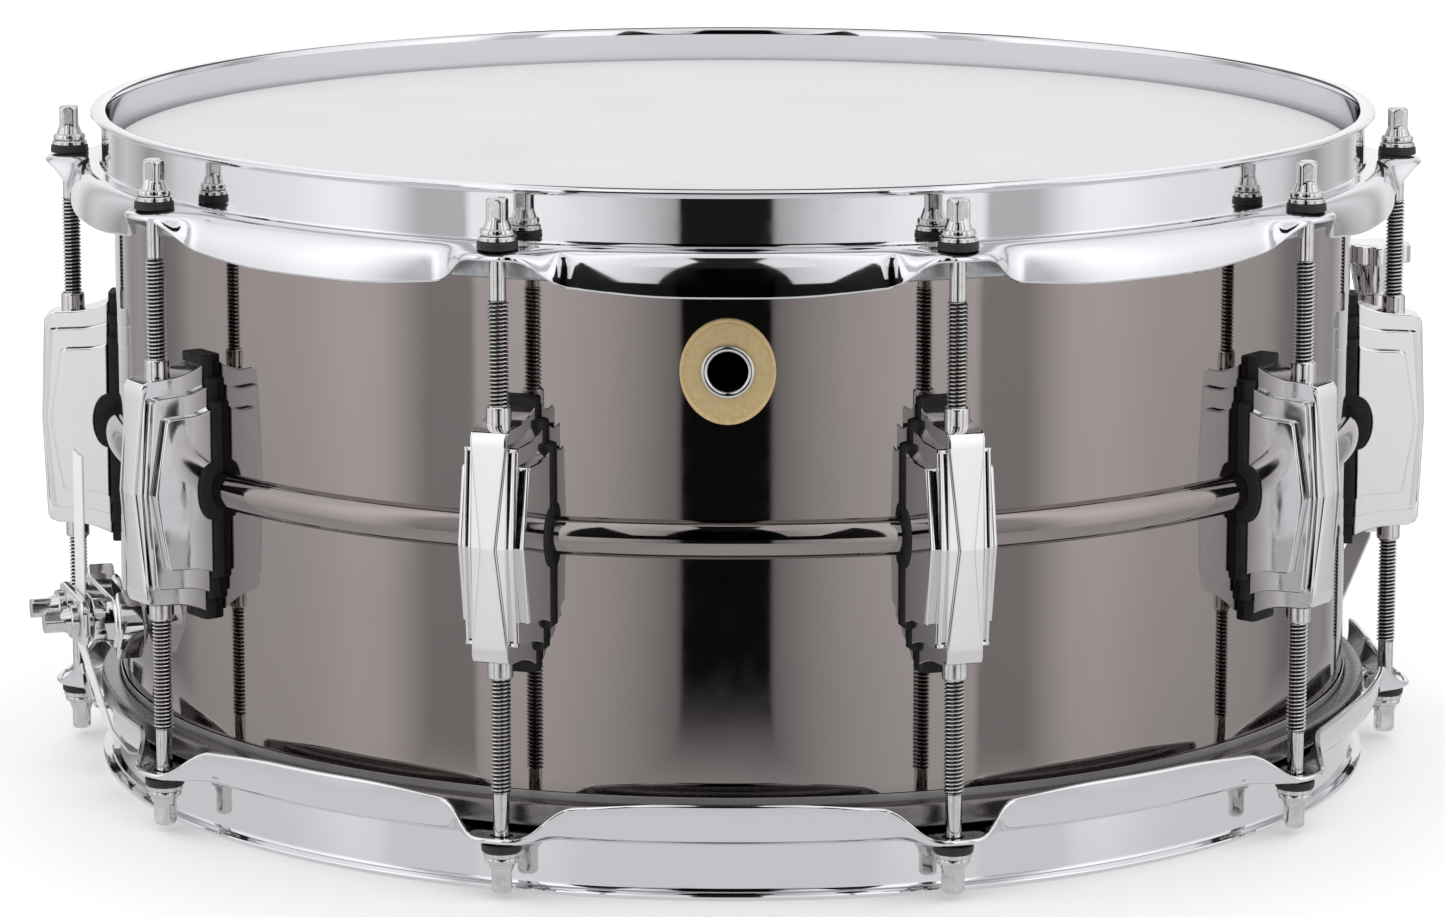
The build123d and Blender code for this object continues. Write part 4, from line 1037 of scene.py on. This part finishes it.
def make_knob(m):
    """A fluted cone under a scalloped disc, on a long screw."""
    base = 118.1
    knob = Shape()
    ring = [(0, base), (6.0, base), (6.3, base + 0.3), (6.3, base + 3.8), (6.0, base + 4.2), (0, base + 4.2)]
    knob.add(lathe(ring, 48, closed=False))
    steps = 96
    levels = [(6.5, 4.15), (6.6, 4.4), (6.6, 5.2), (7.1, 8.0), (7.7, 11.0), (8.2, 13.5)]
    verts = []
    for r, h in levels:
        for i in range(steps):
            a = 2 * pi * i / steps
            flute = 0.28 * (0.5 - 0.5 * cos(24 * a)) if 5.0 < h < 13.0 else 0.0
            verts.append(((r - flute) * cos(a), (r - flute) * sin(a), base + h))
    knob.add((verts, capped(len(levels), steps)))
    disc = scalloped(10.3, 10, 11.6, 2.4, radians(18))
    knob.add(prism(disc, base + 13.4, base + 19.0, 0.6, plan, 3))
    dome = [(0, base + 18.6), (7.4, base + 18.6), (7.2, base + 19.05), (5.0, base + 19.3), (0, base + 19.4)]
    knob.add(lathe(dome, 48, closed=False))
    screw = [(0, 90.0), (1.5, 90.0), (1.88, 90.5), (1.88, base + 0.2), (0, base + 0.2)]
    knob.add(lathe(screw, 28, closed=False))
    data = knob.mesh("knob", 30)
    finished("adjuster_disc", data, "adjuster", "chrome", m["cast"], THROW_ANGLE, ("adjuster_knob",))
    data.transform(Matrix.Translation((203.0 * MM, 0, 0)))


def paint_hidden(m):
    """The CAD nodes that keep their own shape."""
    repaint("nut_spacers", m["white_nylon"])
    repaint("lug_screws_and_washers", m["steel"])
    repaint("strainer_screws_and_washers", m["steel"])


# ---- room, light and camera -------------------------------------------------------
def ramp(tree, value, stops):
    node = tree.nodes.new("ShaderNodeValToRGB")
    tree.links.new(value, node.inputs["Fac"])
    elements = node.color_ramp.elements
    while len(elements) > 1:
        elements.remove(elements[-1])
    elements[0].position = stops[0][0]
    elements[0].color = (stops[0][1],) * 3 + (1,)
    for place, level in stops[1:]:
        element = elements.new(place)
        element.color = (level, level, level, 1)
    return node.outputs["Color"]


def math_node(tree, operation, a, b=None):
    node = tree.nodes.new("ShaderNodeMath")
    node.operation = operation
    for socket, value in zip(node.inputs, (a, b)):
        if value is None:
            continue
        if isinstance(value, (int, float)):
            socket.default_value = value
        else:
            tree.links.new(value, socket)
    return node.outputs[0]


WORLD_LIGHT = 1.16


def make_world():
    """Even fill light from all round, and the pale backdrop."""
    world = bpy.data.worlds.new("studio")
    bpy.context.scene.world = world
    world.use_nodes = True
    tree = world.node_tree
    background = tree.nodes["Background"]
    direction = tree.nodes.new("ShaderNodeTexCoord").outputs["Generated"]
    parts = tree.nodes.new("ShaderNodeSeparateXYZ")
    tree.links.new(direction, parts.inputs["Vector"])
    height = math_node(tree, "ADD", math_node(tree, "MULTIPLY", parts.outputs["Z"], 0.5), 0.5)
    fill = ramp(tree, height, [(0.0, 0.85), (0.45, 0.95), (0.55, 1.0), (1.0, 1.0)])
    background.inputs["Color"].default_value = (1.0, 0.998, 1.0, 1)
    tree.links.new(math_node(tree, "MULTIPLY", fill, WORLD_LIGHT), background.inputs["Strength"])


TENT_R = 1100.0
TENT_LOW = -600.0
TENT_HIGH = 1500.0
TENT_TURN = 0.6
# brightness round the tent, by degrees from the front; the gap in front is where a camera looks in
TENT_BANDS = (
    (0, 0.010), (7.4, 0.010), (7.8, 0.38), (11, 0.52), (14.5, 0.66), (20, 0.82), (28, 0.96), (34, 1.0),
    (42.0, 0.95), (42.6, 0.50), (51, 0.50), (56, 0.82), (60, 1.0), (66, 1.04), (78, 0.90), (100, 0.81),
    (108, 0.72), (114, 0.45), (120, 0.34), (125, 0.50), (131, 0.62), (138, 0.48), (146, 0.78), (158, 0.74),
    (168, 0.85), (173, 0.82), (173.6, 0.10), (180, 0.10),
)
# brightness by height; a ramp holds no more than 1, so it is divided by its peak and put back
TENT_LIFT = (
    (-600, 0.62), (-300, 0.70), (-200, 0.84), (-100, 0.93), (20, 1.0), (150, 1.1), (400, 1.25), (1500, 1.2),
)
LIFT_PEAK = 1.25
TENT_GAIN = 1.06
# the bands fade out near the ground and high up
TENT_ENDS = ((-600, 1.1), (-215, 0.86), (-174, 0.11), (-160, 0.0), (850, 0.0), (950, 0.72), (1500, 0.72))
# where the dark wedge and panel lie: heights and widths in metres, turns in degrees
WEDGE_FOOT = 0.066
WEDGE_TURNS = (15, 25)
WEDGE_CEILING = (0.330, 1.150)
WEDGE_EDGE = 25.5
PANEL_FOOT = 0.10
PANEL_FRONT = -0.60
PANEL_HEIGHTS = (0.30, 1.50)
PANEL_WIDTHS = (0.190, 0.118)
DARKNESS = 0.985


def product(tree, first, *others):
    for other in others:
        first = math_node(tree, "MULTIPLY", first, other)
    return first


def dark_wedge(tree, around, z):
    """1 inside a wedge between the boards in front and the high soft boxes."""
    low, high = (radians(turn) for turn in WEDGE_TURNS)
    ceiling = map_range(tree, around, low, high, *WEDGE_CEILING)
    inside = math_node(tree, "LESS_THAN", around, radians(WEDGE_EDGE))
    above = math_node(tree, "GREATER_THAN", z, WEDGE_FOOT)
    return product(tree, inside, above, math_node(tree, "LESS_THAN", z, ceiling))


def dark_panel(tree, x, y, z):
    """1 inside a panel from there up and over the drum, wider at its foot."""
    spread = map_range(tree, z, *PANEL_HEIGHTS, *PANEL_WIDTHS)
    offset = TENT_R * MM * sin(radians(TENT_TURN))
    middle = math_node(tree, "ABSOLUTE", math_node(tree, "ADD", x, offset))
    narrow = math_node(tree, "LESS_THAN", middle, spread)
    front = math_node(tree, "LESS_THAN", y, PANEL_FRONT)
    return product(tree, narrow, front, math_node(tree, "GREATER_THAN", z, PANEL_FOOT))


def tent_brightness(tree):
    """The wall's brightness at a point: bands round it, a lift with height, and the dark parts."""
    parts = tree.nodes.new("ShaderNodeSeparateXYZ")
    tree.links.new(tree.nodes.new("ShaderNodeTexCoord").outputs["Object"], parts.inputs["Vector"])
    x, y, z = parts.outputs
    turn = math_node(tree, "ARCTAN2", x, math_node(tree, "MULTIPLY", y, -1.0))
    around = math_node(tree, "ABSOLUTE", math_node(tree, "ADD", turn, radians(TENT_TURN)))
    level = ramp(tree, math_node(tree, "DIVIDE", around, pi), [(a / 180, v) for a, v in TENT_BANDS])
    span = TENT_HIGH - TENT_LOW
    height = math_node(tree, "DIVIDE", math_node(tree, "SUBTRACT", z, TENT_LOW * MM), span * MM)
    lift = ramp(tree, height, [((h - TENT_LOW) / span, v / LIFT_PEAK) for h, v in TENT_LIFT])
    ends = ramp(tree, height, [((h - TENT_LOW) / span, v) for h, v in TENT_ENDS])
    level = math_node(tree, "MAXIMUM", level, ends)
    dark = math_node(tree, "MAXIMUM", dark_wedge(tree, around, z), dark_panel(tree, x, y, z))
    open_part = math_node(tree, "SUBTRACT", 1.0, math_node(tree, "MULTIPLY", dark, DARKNESS))
    return product(tree, level, lift, open_part, LIFT_PEAK * TENT_GAIN)


def make_tent():
    """The soft boxes that the polished metal mirrors: a lit wall round the drum with dark bands."""
    wall = [(0, TENT_LOW), (TENT_R, TENT_LOW), (TENT_R, TENT_HIGH), (0, TENT_HIGH)]
    tent = bpy.data.objects.new("tent", Shape().add(lathe(wall, 128, closed=False)).mesh("tent"))
    bpy.context.collection.objects.link(tent)
    tent.visible_camera = False
    tent.visible_diffuse = False
    tent.visible_shadow = False
    material = bpy.data.materials.new("tent")
    material.use_nodes = True
    tree = material.node_tree
    tree.nodes.clear()
    lamp = tree.nodes.new("ShaderNodeEmission")
    output = tree.nodes.new("ShaderNodeOutputMaterial")
    tree.links.new(lamp.outputs[0], output.inputs["Surface"])
    lamp.inputs["Color"].default_value = (0.985, 0.985, 1.0, 1)
    tree.links.new(tent_brightness(tree), lamp.inputs["Strength"])
    tent.data.materials.append(material)


def make_floor():
    bpy.ops.mesh.primitive_circle_add(vertices=96, radius=14.0, fill_type="NGON", location=(0, 0, -0.0001))
    floor = bpy.context.object
    floor.name = "floor"
    paint = Paint("floor", (0.93, 0.93, 0.935), 0.0, 0.7)
    paint.vary_roughness(paint.noise(300, 2), 0.65, 0.75)
    paint.shader.inputs["Emission Color"].default_value = (1.0, 1.0, 1.0, 1)
    paint.shader.inputs["Emission Strength"].default_value = 0.13
    floor.data.materials.append(paint.material)
    floor.visible_glossy = False


# millimetres, then degrees, but yaw and roll in radians
CAMERA_DISTANCE = 1610.3
CAMERA_HEIGHT = 393.5
CAMERA_PITCH = 10.923
CAMERA_ORBIT = 0.3907
CAMERA_YAW = 0.0018
CAMERA_ROLL = 0.0005
CAMERA_LENS = 140.13


def make_camera():
    data = bpy.data.cameras.new("camera")
    camera = bpy.data.objects.new("camera", data)
    bpy.context.collection.objects.link(camera)
    data.sensor_width = 36.0
    data.lens = CAMERA_LENS
    data.clip_end = 100
    orbit = radians(CAMERA_ORBIT)
    away = CAMERA_DISTANCE * MM
    camera.location = (away * sin(orbit), -away * cos(orbit), CAMERA_HEIGHT * MM)
    aim = Matrix.Rotation(orbit + CAMERA_YAW, 4, "Z") @ Matrix.Rotation(radians(90 - CAMERA_PITCH), 4, "X")
    camera.rotation_euler = (aim @ Matrix.Rotation(CAMERA_ROLL, 4, "Z")).to_euler()
    bpy.context.scene.camera = camera


bpy.context.scene.view_settings.view_transform = "Standard"
make_camera()
make_world()
make_tent()
make_floor()
materials = make_materials()
for make in (make_shell, make_heads, make_hoops, make_lugs, make_rods, make_badge, make_straps, make_snares):
    make(materials)
for make in (make_butt, make_throw_off, paint_hidden):
    make(materials)

bpy.context.view_layer.update()
